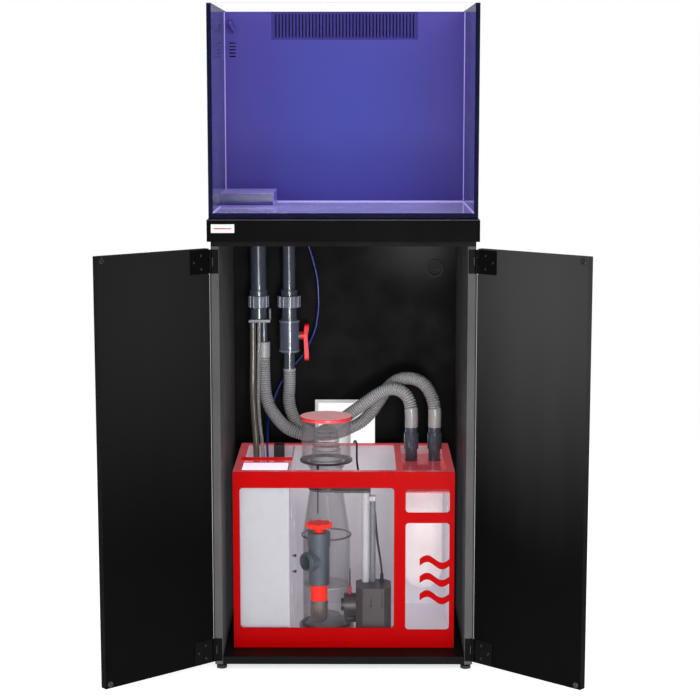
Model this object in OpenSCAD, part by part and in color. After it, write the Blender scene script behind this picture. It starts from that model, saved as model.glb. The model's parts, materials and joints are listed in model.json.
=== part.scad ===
// Rimmed glass aquarium with a rear weir, on a two-door cabinet that holds a sump,
// a protein skimmer and its plumbing. +Z is up and the doors face -Y.
// The origin is on the floor, at the middle of the footprint with the doors open.

/* [Tank] */
// Outside width of the glass tank
tank_w = 600; // [540:5:900]
// Outside depth of the glass tank
tank_d = 520; // [500:5:700]
// Height of the upright panes
tank_h = 480; // [380:5:640]
// Thickness of the upright panes
glass_t = 10; // [6:1:15]
// Thickness of the base pane
base_t = 15; // [10:1:19]
// Silicone joint between panes
joint_t = 1; // [0.5:0.1:2]
// Clear depth in front of the weir
display_d = 400; // [320:5:480]
// Thickness of the weir panel
weir_t = 6; // [4:1:10]
// Gap between the top of the weir and the top of the panes
weir_drop = 3; // [2:1:40]
// Width of the comb in the weir
comb_w = 352; // [200:4:460]
// Height of the comb in the weir
comb_h = 66; // [40:1:100]
// Slots in the comb
comb_slots = 42; // [10:1:60]
// Width of one comb slot
slot_w = 3; // [2:0.5:5]

/* [Base trim] */
// Height of the trim frame under the tank
trim_h = 48; // [30:1:80]
// Wall of the trim frame
trim_t = 3; // [2:0.5:6]
// Width of the ledge that carries the panes
ledge_w = 15; // [12:1:30]
// Thickness of the levelling mat
mat_t = 5; // [3:1:10]

/* [Cabinet] */
// Width of the carcass
carcass_w = 594; // [560:2:880]
// Depth of the carcass
carcass_d = 498; // [490:2:680]
// Height of the carcass between its feet and the underside of its top board
carcass_h = 969; // [780:1:1000]
// Thickness of the side, bottom and door boards
board_t = 18; // [15:1:25]
// Thickness of the top board
top_t = 25; // [18:1:40]
// Thickness of the back panel
back_t = 12; // [6:1:18]
// Diameter of a foot
foot_dia = 24; // [18:1:40]
// Height of a foot
foot_h = 14; // [8:1:40]
// Width of the window in the back panel
window_w = 152; // [80:2:240]
// Height of the window in the back panel
window_h = 210; // [80:2:300]
// Outside radius of the cable grommet
grommet_r = 23; // [15:1:30]

/* [Doors] */
// Angle at which the doors stand open
door_angle = 139; // [90:1:150]
// Gap between a door and the carcass
door_gap = 3; // [3:0.5:5]
// Height and width of a hinge leaf on a door
leaf = 54; // [40:1:60]
// Radius of a hinge knuckle
knuckle_r = 4; // [3:0.5:5]
// Radius of a hinge pin
hinge_pin_r = 1.5; // [1:0.25:2]

/* [Plumbing] */
// Outside radius of the left downpipe
left_pipe_r = 20; // [16:0.5:20]
// Outside radius of the right downpipe
right_pipe_r = 16; // [12:0.5:20]
// Wall of the pipes
pipe_wall = 2.5; // [2:0.5:4]
// Diameter of the corrugated drain hoses
drain_dia = 32; // [25:1:36]
// Diameter of the return hose
return_dia = 16; // [12:1:18]
// Diameter of the clear hose
clear_dia = 9; // [6:1:10]
// Diameter of the top-up tube
topup_dia = 6; // [4:1:8]
// Radius of the ball in the valve
ball_r = 17; // [14:0.5:19]

/* [Sump] */
// Width of the sump
sump_w = 516; // [480:2:540]
// Depth of the sump
sump_d = 340; // [330:2:350]
// Height of the sump without its rim
sump_h = 418; // [400:2:460]
// Thickness of the sump walls
sump_t = 5; // [4:0.5:8]
// Thickness of the red fascia and the rim
red_t = 3; // [2:0.5:5]
// Diameter of the filter sock
sock_dia = 98; // [80:1:100]
// Wall of the filter sock
sock_t = 3; // [2:0.5:5]

/* [Skimmer] */
// Radius of the skimmer body
body_r = 57; // [50:1:60]
// Wall of the skimmer tubes
skim_wall = 3; // [2:0.5:4]
// Radius of the skimmer neck
neck_r = 40; // [34:1:42]
// Radius of the collection cup
cup_r = 59; // [50:1:62]
// Height of the collection cup
cup_h = 102; // [80:1:120]
// Radius of the wedge valve
wedge_r = 27; // [22:1:28]
// Width of the pump
pump_w = 83; // [70:1:90]
// Diameter of the pump cable
cable_dia = 5; // [4:0.5:6]

/* [Hidden] */
$fn = 64;

eps = 0.05;
fit_gap = 0.3;   // between pieces that move past each other
run_gap = 0.05;  // a shaft or pin in its bore
glue_gap = 0.1;  // a pipe in its socket

// Heights
board_z = foot_h;
floor_z = board_z + board_t;
ceiling_z = foot_h + carcass_h;
plinth_t = 20;
plinth_z = ceiling_z + top_t;
mat_z = plinth_z + plinth_t;
ledge_t = 5;
ledge_z = mat_z + mat_t;
pane_z = ledge_z + ledge_t;
base_z = pane_z + 5;
water_floor = base_z + base_t;
pane_top = pane_z + tank_h;
trim_z = base_z - trim_h;
weir_top = pane_top - weir_drop;
comb_z = weir_top - comb_h;

// Depths, measured back from the front plane of the carcass
tank_front = -door_gap - board_t + 2;
tank_back = tank_front + tank_d;
weir_y = tank_front + glass_t + display_d;
chamber_y = weir_y + weir_t;
pipe_y = 440;
panel_y = carcass_d - back_t;
sump_y = 72;
sump_back = sump_y + sump_d;
sump_z = floor_z;
sump_top = sump_z + sump_h;
sump_floor = sump_z + sump_t + 3;

// Doors: the pivot stands in the middle of the gap, just outside the carcass
side_x = carcass_w / 2;
pivot_x = side_x + 1;
pivot_y = -door_gap / 2;
door_w = side_x - 1.5;
door_z = board_z + 6;
door_top = ceiling_z - 5;
leaf_t = 1.2;
leaf_z = [door_z + 2, door_top - 2 - leaf];

// The front plane of the carcass, so that the footprint is centred on the origin
door_reach = (door_w + 1) * sin(door_angle) - (door_gap / 2) * abs(cos(door_angle)) - pivot_y;
trim_back = tank_back + trim_t + 1;
front_y = (door_reach - trim_back) / 2;

// Plumbing places
left_x = -215;
right_x = -139;
sleeve_z = 822;
nut_h = 28;
core_z = sleeve_z - nut_h - 2;
left_end = 764;
block_t = 8;
valve_top = 764;
valve_z = 721;
valve_bottom = 678;
valve_r = 25;
tail_x = [164, 221];
tail_y = 331;
tail_top = 510;
tail_bottom = 345;
topup_top = [-91, 456];

// Sump places
divider_x = 128;
shelf_x = -128;
shelf_y = 215;
shelf_ledge = 16;
rail_w = 20;
plate_z = sump_top - 27;
holder_z = plate_z - 22;
sock_x = (tail_x[0] + tail_x[1]) / 2;

// Skimmer places
skim_x = -43;
skim_y = 208;
cone_z = 270;
neck_z = 384;
cup_z = 452;
lid_z = cup_z + cup_h;
lid_t = 7;
lid_skirt = 2;
wedge_x = -59;
wedge_y = 121;
wedge_top = 298;
wedge_z = 172;
elbow_z = 92;
pump_x = 28;
pump_y = 84;
pump_d = 88;
pump_z = sump_floor + 4;
pump_h = 126;
pump_top = pump_z + pump_h;
outlet_x = 4;
outlet_y = 165;
outlet_z = 75;
volute_z = 120;
volute_y = 128;
volute_r = 27;
volute_l = 28;
coil_x = 75;
coil_y = 449;
coil_r = 27;

// Cord routes: x, y from the carcass front, z
LEFT_DRAIN = [[-203, 445, 705], [-203, 445, 655], [-200, 433, 585], [-190, 421, 547],
    [-172, 409, 521], [-151, 397, 500], [-127, 387, 488], [-86, 381, 480], [-41, 379, 496],
    [6, 377, 529], [55, 367, 566], [79, 361, 584], [102, 355, 597], [126, 347, 601],
    [147, 339, 591], [159, 334, 572], [164, 331, 545], [164, 331, 510]];
RIGHT_DRAIN = [[-139, 440, 638], [-139, 440, 597], [-141, 437, 564], [-137, 431, 538],
    [-126, 425, 512], [-106, 421, 488], [-72, 419, 473], [-25, 419, 475], [25, 419, 496],
    [49, 419, 512], [67, 418, 532], [83, 415, 556], [98, 407, 582], [115, 397, 604],
    [138, 383, 620], [168, 367, 624], [196, 351, 612], [214, 339, 584], [221, 331, 552],
    [221, 331, 510]];
TOPUP = [[-91, 456, 983], [-91, 456, 950], [-79, 457, 907], [-69, 458, 862], [-66, 459, 812],
    [-67, 461, 779], [-75, 465, 733], [-89, 469, 699], [-105, 472, 669], [-126, 473, 644],
    [-148, 472, 615], [-165, 468, 590], [-180, 460, 554], [-191, 450, 525], [-194, 434, 500],
    [-194, 414, 482], [-193, 397, 467], [-193, 386, 448], [-192, 383, 420], [-192, 382, 380]];
RETURN = [[-229, 427, 756], [-229, 427, 690], [-230, 421, 580], [-227, 406, 525],
    [-223, 390, 486], [-220, 378, 445], [-219, 369, 390], [-218, 362, 300], [-218, 360, 200],
    [-218, 360, 122]];
CLEAR = [[-213, 421, 756], [-214, 421, 690], [-216, 412, 582], [-213, 402, 516],
    [-207, 387, 470], [-203, 377, 426], [-202, 372, 371], [-201, 370, 300]];
CABLE = [[90, 150, 170], [90, 150, 192], [86, 155, 225], [80, 163, 262], [76, 172, 300],
    [72, 188, 340], [56, 208, 380], [38, 226, 408], [31, 262, 432], [30, 310, 448],
    [30, 355, 458], [28, 388, 461], [25, 407, 459], [23, 418, 453], [21, 424, 440],
    [19, 427, 415], [16, 428, 340], [15, 428, 240], [15, 428, 140], [15, 427, 100],
    [18, 425, 70], [27, 422, 50], [42, 419, 39], [60, 418, 35]];

// Moves a piece from the carcass front plane to its place
module placed() {
    translate([0, front_y, 0]) children();
}

// A box from one corner to the other
module block(low, high) {
    translate(low) cube(high - low);
}

// A tube standing on z
module pipe(x, y, z, r, h, wall) {
    translate([x, y, z]) difference() {
        cylinder(r = r, h = h);
        translate([0, 0, -1]) cylinder(r = r - wall, h = h + 2);
    }
}

// A plate with round corners, lying flat
module plate(w, d, h, r) {
    linear_extrude(h) rounded(w, d, r);
}

// A rectangle with round corners, from the origin
module rounded(w, d, r) {
    translate([r, 0]) square([w - 2 * r, d]);
    translate([0, r]) square([w, d - 2 * r]);
    for (x = [r, w - r]) {
        for (y = [r, d - r]) {
            translate([x, y]) circle(r = r, $fn = 32);
        }
    }
}

function unit(v) = v / norm(v);

// A point on a smooth curve through points a, b, c and d, between b and c
function curve(a, b, c, d, t) = 0.5 * (2 * b + (c - a) * t
    + (2 * a - 5 * b + 4 * c - d) * t * t + (3 * b - a - 3 * c + d) * t * t * t);

// The route with extra points between those chosen
function smooth(route, steps) = let (last = len(route) - 1) concat([for (i = [0 : last - 1])
    for (k = [0 : steps - 1]) curve(route[max(i - 1, 0)], route[i], route[i + 1],
        route[min(i + 2, last)], k / steps)], [route[last]]);

function heading(path, i) = unit(path[min(i + 1, len(path) - 1)] - path[max(i - 1, 0)]);

function upright(side, along) = unit(side - along * (side * along));

function sides(path) = [for (i = 0, s = upright([1, 0.3, 0], heading(path, 0)); i < len(path);
    i = i + 1, s = i < len(path) ? upright(s, heading(path, i)) : s) s];

function ring(centre, side, along, r, n) = [for (k = [0 : n - 1])
    centre + r * (cos(360 * k / n) * side + sin(360 * k / n) * cross(along, side))];

// A round cord along a path, closed at both ends
module cord(path, r, n) {
    across = sides(path);
    last = len(path) - 1;
    points = [for (i = [0 : last]) each ring(path[i], across[i], heading(path, i), r, n)];
    walls = [for (i = [0 : last - 1]) for (k = [0 : n - 1])
        [i * n + k, (i + 1) * n + k, (i + 1) * n + (k + 1) % n, i * n + (k + 1) % n]];
    ends = [[for (k = [0 : n - 1]) k], [for (k = [n - 1 : -1 : 0]) last * n + k]];
    polyhedron(points, concat(walls, ends));
}

// ---- Tank ----

module pane_across(y) {
    placed() block([-tank_w / 2, y, pane_z], [tank_w / 2, y + glass_t, pane_top]);
}

module glass_front() {
    color("lightcyan", 0.4) pane_across(tank_front);
}

module glass_back() {
    color("midnightblue", 0.8) pane_across(tank_back - glass_t);
}

module pane_along(x) {
    placed() block([x, tank_front + glass_t + joint_t, pane_z],
        [x + glass_t, tank_back - glass_t - joint_t, pane_top]);
}

module glass_left() {
    color("lightcyan", 0.4) pane_along(-tank_w / 2);
}

module glass_right() {
    color("lightcyan", 0.4) pane_along(tank_w / 2 - glass_t);
}

inner_x = tank_w / 2 - glass_t;
inner_front = tank_front + glass_t;
inner_back = tank_back - glass_t;
bulkhead_r = left_pipe_r + glue_gap + 3.5;

module glass_base() {
    color("lightsteelblue", 0.6) placed() difference() {
        block([-inner_x + joint_t, inner_front + joint_t, base_z],
            [inner_x - joint_t, inner_back - joint_t, water_floor]);
        for (x = [left_x, right_x]) {
            translate([x, pipe_y, base_z - 1]) cylinder(r = bulkhead_r + glue_gap, h = base_t + 2);
        }
    }
}

module silicone_seams() {
    color("#14141c") placed() {
        for (x = [-tank_w / 2, tank_w / 2 - glass_t]) {
            block([x, inner_front, pane_z], [x + glass_t, inner_front + joint_t, pane_top - 1]);
            block([x, inner_back - joint_t, pane_z], [x + glass_t, inner_back, pane_top - 1]);
        }
        difference() {
            block([-inner_x, inner_front, base_z], [inner_x, inner_back, water_floor]);
            block([-inner_x + joint_t, inner_front + joint_t, base_z - 1],
                [inner_x - joint_t, inner_back - joint_t, water_floor + 1]);
        }
    }
}

nozzle_x = -inner_x + 14;
nozzle_z = weir_top - 30;
nozzle_r = 7;

module weir_panel() {
    color("slateblue") placed() difference() {
        block([-inner_x, weir_y, water_floor], [inner_x, chamber_y, weir_top]);
        block([-comb_w / 2 - fit_gap, weir_y - 1, comb_z - fit_gap],
            [comb_w / 2 + fit_gap, chamber_y + 1, weir_top + 1]);
        translate([nozzle_x, weir_y - 1, nozzle_z]) rotate([-90, 0, 0])
            cylinder(r = nozzle_r + run_gap, h = weir_t + 2);
        for (k = [0 : 4]) {
            translate([nozzle_x, weir_y - 1, nozzle_z - 46 - 8 * k]) block([-3, 0, 0], [13, weir_t + 2, 3]);
        }
    }
}

module weir_comb() {
    pitch = (comb_w - 12) / comb_slots;
    color("darkslateblue") placed() difference() {
        block([-comb_w / 2, weir_y, comb_z], [comb_w / 2, chamber_y, weir_top]);
        for (k = [0 : comb_slots - 1]) {
            x = -comb_w / 2 + 6 + pitch * (k + 0.5);
            block([x - slot_w / 2, weir_y - 1, comb_z + 5], [x + slot_w / 2, chamber_y + 1, weir_top - 5]);
        }
    }
}

box_w = 125;
box_d = 200;
box_h = 32;

module corner_box() {
    color("lavender", 0.5) placed() difference() {
        block([-inner_x, weir_y - box_d, water_floor], [-inner_x + box_w, weir_y, water_floor + box_h]);
        block([-inner_x - 1, weir_y - box_d + 4, water_floor - 1],
            [-inner_x + box_w - 4, weir_y + 1, water_floor + box_h - 4]);
    }
}

module return_nozzle() {
    color("darkslateblue") placed() translate([nozzle_x, weir_y, nozzle_z]) rotate([90, 0, 0]) {
        translate([0, 0, -weir_t - 8]) cylinder(r = nozzle_r, h = weir_t + 8 + fit_gap);
        translate([0, 0, fit_gap]) cylinder(r = nozzle_r + 2, h = 4);
        translate([0, 0, fit_gap + 4]) cylinder(r = nozzle_r - 1, h = 8);
        translate([0, 0, fit_gap + 12]) sphere(r = nozzle_r - 1);
        translate([0, 0, fit_gap + 12]) rotate([0, 90, 0]) rotate([60, 0, 0]) difference() {
            cylinder(r = nozzle_r - 1, h = 22);
            translate([0, 0, 8]) cylinder(r = nozzle_r - 2.5, h = 15);
        }
    }
}

// Drain and emergency standpipes in the chamber behind the weir
module standpipes() {
    color("dimgray") placed() {
        pipe(left_x, pipe_y, water_floor + 8, left_pipe_r, 330, pipe_wall);
        pipe(right_x, pipe_y, water_floor + 8, right_pipe_r, 390, pipe_wall);
    }
}

module bulkhead(x, r) {
    translate([x, pipe_y, 0]) difference() {
        union() {
            translate([0, 0, base_z - 12]) cylinder(r = bulkhead_r + 8, h = 12);
            translate([0, 0, base_z - eps]) cylinder(r = bulkhead_r, h = base_t + 2 * eps);
            translate([0, 0, water_floor]) cylinder(r = bulkhead_r + 9, h = 8);
            translate([0, 0, water_floor + 8 - eps]) cylinder(r = r + 4, h = 12);
        }
        translate([0, 0, base_z - 13]) cylinder(r = r + glue_gap, h = base_t + 45);
    }
}

module bulkheads() {
    color("#202020") placed() {
        bulkhead(left_x, left_pipe_r);
        bulkhead(right_x, right_pipe_r);
    }
}

module trim_frame() {
    out_x = tank_w / 2 + trim_t + 1;
    out_front = tank_front - trim_t - 1;
    color("#18181a") placed() difference() {
        translate([-out_x, out_front, trim_z]) plate(2 * out_x, trim_back - out_front, trim_h, 5);
        block([-tank_w / 2 - 1, tank_front - 1, trim_z - 1], [tank_w / 2 + 1, tank_back + 1, ledge_z]);
        block([-tank_w / 2 + ledge_w, tank_front + ledge_w, ledge_z - 1],
            [tank_w / 2 - ledge_w, tank_back - ledge_w, pane_z + 1]);
        block([-tank_w / 2 - 0.5, tank_front - 0.5, pane_z], [tank_w / 2 + 0.5, tank_back + 0.5, base_z + 1]);
    }
}

// Clear holes through the boards and the mat under the tank
module pipe_holes(z, h, extra) {
    for (x = [left_x, right_x]) {
        translate([x, pipe_y, z]) cylinder(r = bulkhead_r + extra, h = h);
    }
}

module levelling_mat() {
    color("gainsboro") placed() difference() {
        block([-tank_w / 2 + 4, tank_front + 4, mat_z], [tank_w / 2 - 4, tank_back - 4, ledge_z]);
        pipe_holes(mat_z - 1, mat_t + 2, 11);
    }
}

// ---- Cabinet ----

module cabinet_top() {
    color("#222224") placed() difference() {
        union() {
            block([-side_x, 0, ceiling_z], [side_x, carcass_d, plinth_z]);
            block([-side_x + 6, tank_front + 6, plinth_z], [side_x - 6, tank_back - 6, mat_z]);
        }
        pipe_holes(plinth_z, plinth_t + 1, 11);
        pipe_holes(ceiling_z - 1, top_t + 2, 4);
        translate([topup_top[0], topup_top[1], ceiling_z - 1]) cylinder(r = 5, h = top_t + plinth_t + 2);
    }
}

module cabinet_bottom() {
    color("#222224") placed() block([-side_x + board_t, 0, board_z], [side_x - board_t, panel_y, floor_z]);
}

// The left side board, with a round notch for each hinge knuckle
module side_board() {
    placed() difference() {
        block([-side_x, 0, board_z], [-side_x + board_t, carcass_d, ceiling_z]);
        for (z = leaf_z) {
            translate([-pivot_x, pivot_y, z - 1]) cylinder(r = knuckle_r + 0.5, h = leaf + 2);
        }
    }
}

module side_left() {
    color("#262628") side_board();
}

module side_right() {
    color("#262628") mirror([1, 0, 0]) side_board();
}

window_x = 0;
window_z = 340;
grommet_x = 225;
grommet_z = ceiling_z - 98;

module back_panel() {
    color("#1c1c1e") placed() difference() {
        block([-side_x + board_t, panel_y, board_z], [side_x - board_t, carcass_d, ceiling_z]);
        block([window_x - window_w / 2, panel_y - 1, window_z],
            [window_x + window_w / 2, carcass_d + 1, window_z + window_h]);
        translate([grommet_x, panel_y - 1, grommet_z]) rotate([-90, 0, 0])
            cylinder(r = grommet_r - 4, h = back_t + 2);
    }
}

module cable_grommet() {
    color("#101010") placed() translate([grommet_x, panel_y, grommet_z]) rotate([90, 0, 0])
        difference() {
            union() {
                cylinder(r = grommet_r, h = 3);
                translate([0, 0, -back_t]) cylinder(r = grommet_r - 4 - glue_gap, h = back_t + 1);
            }
            translate([0, 0, -back_t - 1]) cylinder(r = grommet_r - 7, h = back_t + 6);
        }
}

// Swings the left door and its leaves open about the left pivot
module swung() {
    translate([-pivot_x, front_y + pivot_y, 0]) rotate([0, 0, -door_angle])
        translate([pivot_x, -pivot_y, 0]) children();
}

module door_board() {
    swung() difference() {
        block([-side_x, -door_gap - board_t, door_z], [-side_x + door_w, -door_gap, door_top]);
        for (z = leaf_z) {
            translate([-pivot_x, pivot_y, z - 1]) cylinder(r = knuckle_r + 0.5, h = leaf + 2);
        }
    }
}

module door_left() {
    color("#2c2c2e") door_board();
}

module door_right() {
    color("#2c2c2e") mirror([1, 0, 0]) door_board();
}

// One hinge has three knuckles: the outer two on the carcass, the middle one on the door
knuckle_h = leaf / 3;

module knuckle(z, h) {
    translate([-pivot_x, pivot_y, z]) difference() {
        cylinder(r = knuckle_r, h = h);
        translate([0, 0, -1]) cylinder(r = hinge_pin_r + run_gap, h = h + 2);
    }
}

module door_leaves() {
    swung() for (z = leaf_z) {
        difference() {
            block([-pivot_x, -door_gap, z + knuckle_h + 0.2], [-side_x + 6, -door_gap + leaf_t,
                z + 2 * knuckle_h - 0.2]);
            translate([-pivot_x, pivot_y, z]) cylinder(r = knuckle_r - 0.5, h = leaf);
        }
        block([-side_x + 5, -door_gap, z], [-side_x + leaf, -door_gap + leaf_t, z + leaf]);
        knuckle(z + knuckle_h + 0.2, knuckle_h - 0.4);
    }
}

module hinge_leaves_left() {
    color("#0c0c0c") door_leaves();
}

module hinge_leaves_right() {
    color("#0c0c0c") mirror([1, 0, 0]) door_leaves();
}

module frame_leaf(z) {
    for (low = [z, z + 2 * knuckle_h + 0.2]) {
        difference() {
            block([-pivot_x, -leaf_t, low], [-side_x + 6, 0, low + knuckle_h - 0.2]);
            translate([-pivot_x, pivot_y, z]) cylinder(r = knuckle_r - 0.5, h = leaf);
        }
        knuckle(low, knuckle_h - 0.2);
    }
    block([-side_x + 5, -leaf_t, z], [-side_x + board_t - 1, 0, z + leaf]);
}

module hinge_plates() {
    color("#0c0c0c") placed() for (z = leaf_z) {
        frame_leaf(z);
        mirror([1, 0, 0]) frame_leaf(z);
    }
}

module hinge_pins() {
    color("silver") placed() for (z = leaf_z) {
        for (side = [-1, 1]) {
            translate([side * pivot_x, pivot_y, z]) cylinder(r = hinge_pin_r, h = leaf, $fn = 32);
        }
    }
}

module feet() {
    color("#101010") placed() for (x = [-1, 1]) {
        for (y = [foot_dia / 2 + 8, carcass_d - foot_dia / 2 - 8]) {
            translate([x * (side_x - foot_dia / 2 - 2), y, 0]) {
                cylinder(d = foot_dia, h = 8);
                cylinder(d = foot_dia - 12, h = foot_h);
            }
        }
    }
}

// ---- Plumbing ----

module downpipes() {
    color("gray", 0.7) placed() {
        pipe(left_x, pipe_y, sleeve_z, left_pipe_r, base_z - 2 - sleeve_z, pipe_wall);
        pipe(right_x, pipe_y, sleeve_z, right_pipe_r, base_z - 2 - sleeve_z, pipe_wall);
    }
}

// The two threaded halves of a union, one solid from its socket to its lower end
module union_body(x, r, bottom) {
    translate([x, pipe_y, 0]) difference() {
        union() {
            translate([0, 0, sleeve_z]) cylinder(r = r + 3.5, h = 15);
            translate([0, 0, core_z]) cylinder(r = r - 1, h = sleeve_z - core_z);
            translate([0, 0, bottom]) cylinder(r = r + 1, h = core_z - bottom);
        }
        translate([0, 0, sleeve_z]) cylinder(r = r + glue_gap, h = 16);
        translate([0, 0, bottom - 1]) cylinder(r = r - 5, h = 100);
    }
}

module union_bodies() {
    color("slategray", 0.8) placed() {
        union_body(left_x, left_pipe_r, left_end);
        union_body(right_x, right_pipe_r + 2, valve_top);
        difference() {
            block([left_x - 24, pipe_y - 26, left_end - block_t], [left_x + 30, pipe_y + 22, left_end]);
            translate([left_x, pipe_y, left_end - block_t + 3]) cylinder(r = left_pipe_r - 5, h = block_t);
        }
    }
}

// A ribbed nut round the waist of a union
module union_nut(x, r, out) {
    translate([x, pipe_y, core_z + 1]) difference() {
        union() {
            cylinder(r = out - 2, h = nut_h);
            for (k = [0 : 11]) {
                rotate([0, 0, 30 * k]) translate([out - 3, 0, 0]) cylinder(r = 3, h = nut_h, $fn = 24);
            }
        }
        translate([0, 0, -1]) cylinder(r = r - 1 + glue_gap, h = nut_h + 2);
    }
}

module union_nuts() {
    color("slategray") placed() {
        union_nut(left_x, left_pipe_r, 26);
        union_nut(right_x, right_pipe_r + 2, 29);
    }
}

stem_r = 4;
stem_x = valve_r + 9;

module valve_body() {
    mid = (valve_bottom + valve_top) / 2;
    color("lightsteelblue", 0.7) placed() translate([right_x, pipe_y, 0]) difference() {
        union() {
            translate([0, 0, valve_bottom]) cylinder(r = valve_r - 4, h = valve_top - valve_bottom);
            translate([0, 0, mid - 34]) cylinder(r = valve_r, h = 68);
            translate([0, 0, valve_z]) rotate([0, 90, 0]) cylinder(r = 11, h = valve_r + 4);
        }
        translate([0, 0, valve_bottom - 1]) cylinder(r = 12, h = valve_top - valve_bottom + 2);
        translate([0, 0, valve_z]) sphere(r = ball_r + 2 * run_gap);
        translate([0, 0, valve_z]) rotate([0, 90, 0]) cylinder(r = stem_r + run_gap, h = valve_r + 5);
    }
}

module valve_ball() {
    color("white") placed() translate([right_x, pipe_y, valve_z]) difference() {
        union() {
            sphere(r = ball_r);
            rotate([0, 90, 0]) cylinder(r = stem_r, h = stem_x);
        }
        translate([0, 0, -ball_r - 1]) cylinder(r = 11, h = 2 * ball_r + 2);
    }
}

// A two-winged lever, its wings along the pipe when the valve is open
module valve_handle() {
    color("crimson") placed() translate([right_x + valve_r + 4 + fit_gap, pipe_y, valve_z]) difference() {
        union() {
            rotate([0, 90, 0]) cylinder(r = 10, h = 12);
            for (end = [-1, 1]) {
                hull() {
                    translate([7, 0, 0]) rotate([0, 90, 0]) cylinder(r = 10, h = 9, $fn = 32);
                    translate([9, 0, end > 0 ? 22 : -56]) rotate([0, 90, 0])
                        cylinder(r = 7, h = 11, $fn = 32);
                }
            }
        }
        translate([-1, 0, 0]) rotate([0, 90, 0]) cylinder(r = stem_r, h = stem_x - valve_r - 4 + 1 - fit_gap);
    }
}

module drain_hose_left() {
    color("darkgray") placed() cord(smooth(LEFT_DRAIN, 2), drain_dia / 2, 12);
}

module drain_hose_right() {
    color("darkgray") placed() cord(smooth(RIGHT_DRAIN, 2), drain_dia / 2, 12);
}

// Rigid tails: one above each drain hose, and one below each in the filter plate
module hose_tails() {
    color("slategray", 0.8) placed() {
        first = LEFT_DRAIN[0];
        pipe(first[0], first[1], first[2], 9, left_end - block_t - first[2], 2);
        pipe(right_x, pipe_y, RIGHT_DRAIN[0][2], 14.5, valve_bottom - RIGHT_DRAIN[0][2], pipe_wall);
        for (x = tail_x) {
            pipe(x, tail_y, tail_bottom, drain_dia / 2 - 1, tail_top - tail_bottom, pipe_wall);
            pipe(x, tail_y, sump_top + 6, drain_dia / 2 + 2, 40, 3 - glue_gap);
        }
    }
}

module topup_tube() {
    color("royalblue") placed() cord(smooth(TOPUP, 2), topup_dia / 2, 8);
}

module return_hose() {
    color("#6b5f50") placed() cord(smooth(RETURN, 3), return_dia / 2, 10);
}

module clear_hose() {
    color("whitesmoke", 0.6) placed() cord(smooth(CLEAR, 3), clear_dia / 2, 8);
}

// ---- Sump ----

module sump_shell() {
    half = sump_w / 2;
    color("aliceblue", 0.5) placed() {
        difference() {
            block([-half, sump_y, sump_z], [half, sump_back, sump_top]);
            block([-half + sump_t, sump_y + sump_t, sump_floor], [half - sump_t, sump_back - sump_t, sump_top + 1]);
        }
        block([divider_x, sump_y + sump_t, sump_floor], [divider_x + sump_t, sump_back - sump_t, sump_top]);
        block([shelf_x, sump_y + sump_t, sump_floor], [shelf_x + sump_t, sump_back - sump_t, sump_top]);
    }
}

// Windows in the fascia: x, z, width and height
big_window = [-242, 80, 359, 335];
top_window = [144, 357, 102, 55];
low_window = [144, 76, 102, 256];

module opening(frame) {
    translate([frame[0], frame[1]]) rounded(frame[2], frame[3], 8);
}

// Three wavy bars that stand in the low window
module waves() {
    for (k = [0 : 2]) {
        low = low_window[1] + 70 + 42 * k;
        right = low_window[0] + low_window[2] + 1;
        polygon(concat([for (s = [0 : 12]) [right - 70 + 70 * s / 12, low + 9 * sin(30 * s)]],
            [for (s = [12 : -1 : 0]) [right - 70 + 70 * s / 12, low + 16 + 9 * sin(30 * s)]]));
    }
}

module sump_fascia() {
    color("red") placed() translate([0, sump_y - eps, 0]) rotate([90, 0, 0]) linear_extrude(red_t - eps) {
        difference() {
            translate([-sump_w / 2, sump_z]) square([sump_w, sump_h + red_t]);
            opening(big_window);
            opening(top_window);
            opening(low_window);
        }
        waves();
    }
}

module sump_rim() {
    half = sump_w / 2;
    color("#d84850", 0.8) placed() translate([0, 0, sump_top]) linear_extrude(red_t) {
        difference() {
            translate([-half, sump_y]) square([sump_w, sump_d]);
            translate([-half + rail_w, sump_y + rail_w]) square([sump_w - 2 * rail_w, sump_d - 2 * rail_w]);
        }
        translate([divider_x - 6, sump_y + 1]) square([16, sump_d - 2]);
        translate([-half + 1, shelf_y - 4]) square([half + shelf_x, shelf_ledge]);
    }
}

// The filter lid with a hole for each tail, and the holder plate below it
module sock_plate() {
    low_x = divider_x + sump_t + 0.5;
    high_x = sump_w / 2 - sump_t - 0.5;
    low_y = sump_y + sump_t + 0.5;
    high_y = sump_back - sump_t - 0.5;
    color("#e05058", 0.7) placed() difference() {
        union() {
            block([low_x, low_y + 120, plate_z], [high_x, high_y, plate_z + 4]);
            block([low_x, low_y, holder_z], [high_x, high_y, holder_z + 4]);
            for (y = [low_y + 120, high_y - 8]) {
                block([low_x, y, holder_z], [low_x + 5, y + 8, plate_z + 1]);
                block([high_x - 5, y, holder_z], [high_x, y + 8, plate_z + 1]);
            }
        }
        for (x = tail_x) {
            translate([x, tail_y, plate_z - 1]) cylinder(r = drain_dia / 2 + 1, h = 6);
        }
        translate([sock_x, tail_y, holder_z - 1]) cylinder(r = sock_dia / 2 + 1, h = 6);
    }
}

sock_len = 300;

module filter_sock() {
    r = sock_dia / 2;
    color("ghostwhite") placed() translate([sock_x, tail_y, holder_z + 4 - sock_len]) rotate_extrude()
        difference() {
            union() {
                intersection() {
                    translate([0, r]) circle(r = r);
                    square([r, r]);
                }
                translate([0, r - eps]) square([r, sock_len - r + 4]);
                translate([0, sock_len]) square([r + 4, 4]);
            }
            intersection() {
                translate([0, r]) circle(r = r - sock_t);
                square([r, r]);
            }
            translate([0, r - 2 * eps]) square([r - sock_t, sock_len]);
        }
}

module reservoir() {
    low = [-sump_w / 2 + sump_t + 1, sump_y + sump_t + 1, sump_floor];
    high = [shelf_x - 1, shelf_y, sump_top - 4];
    color("white") placed() difference() {
        block(low, high);
        block(low + [4, 4, 4], high + [-4, -4, 1]);
    }
}

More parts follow.
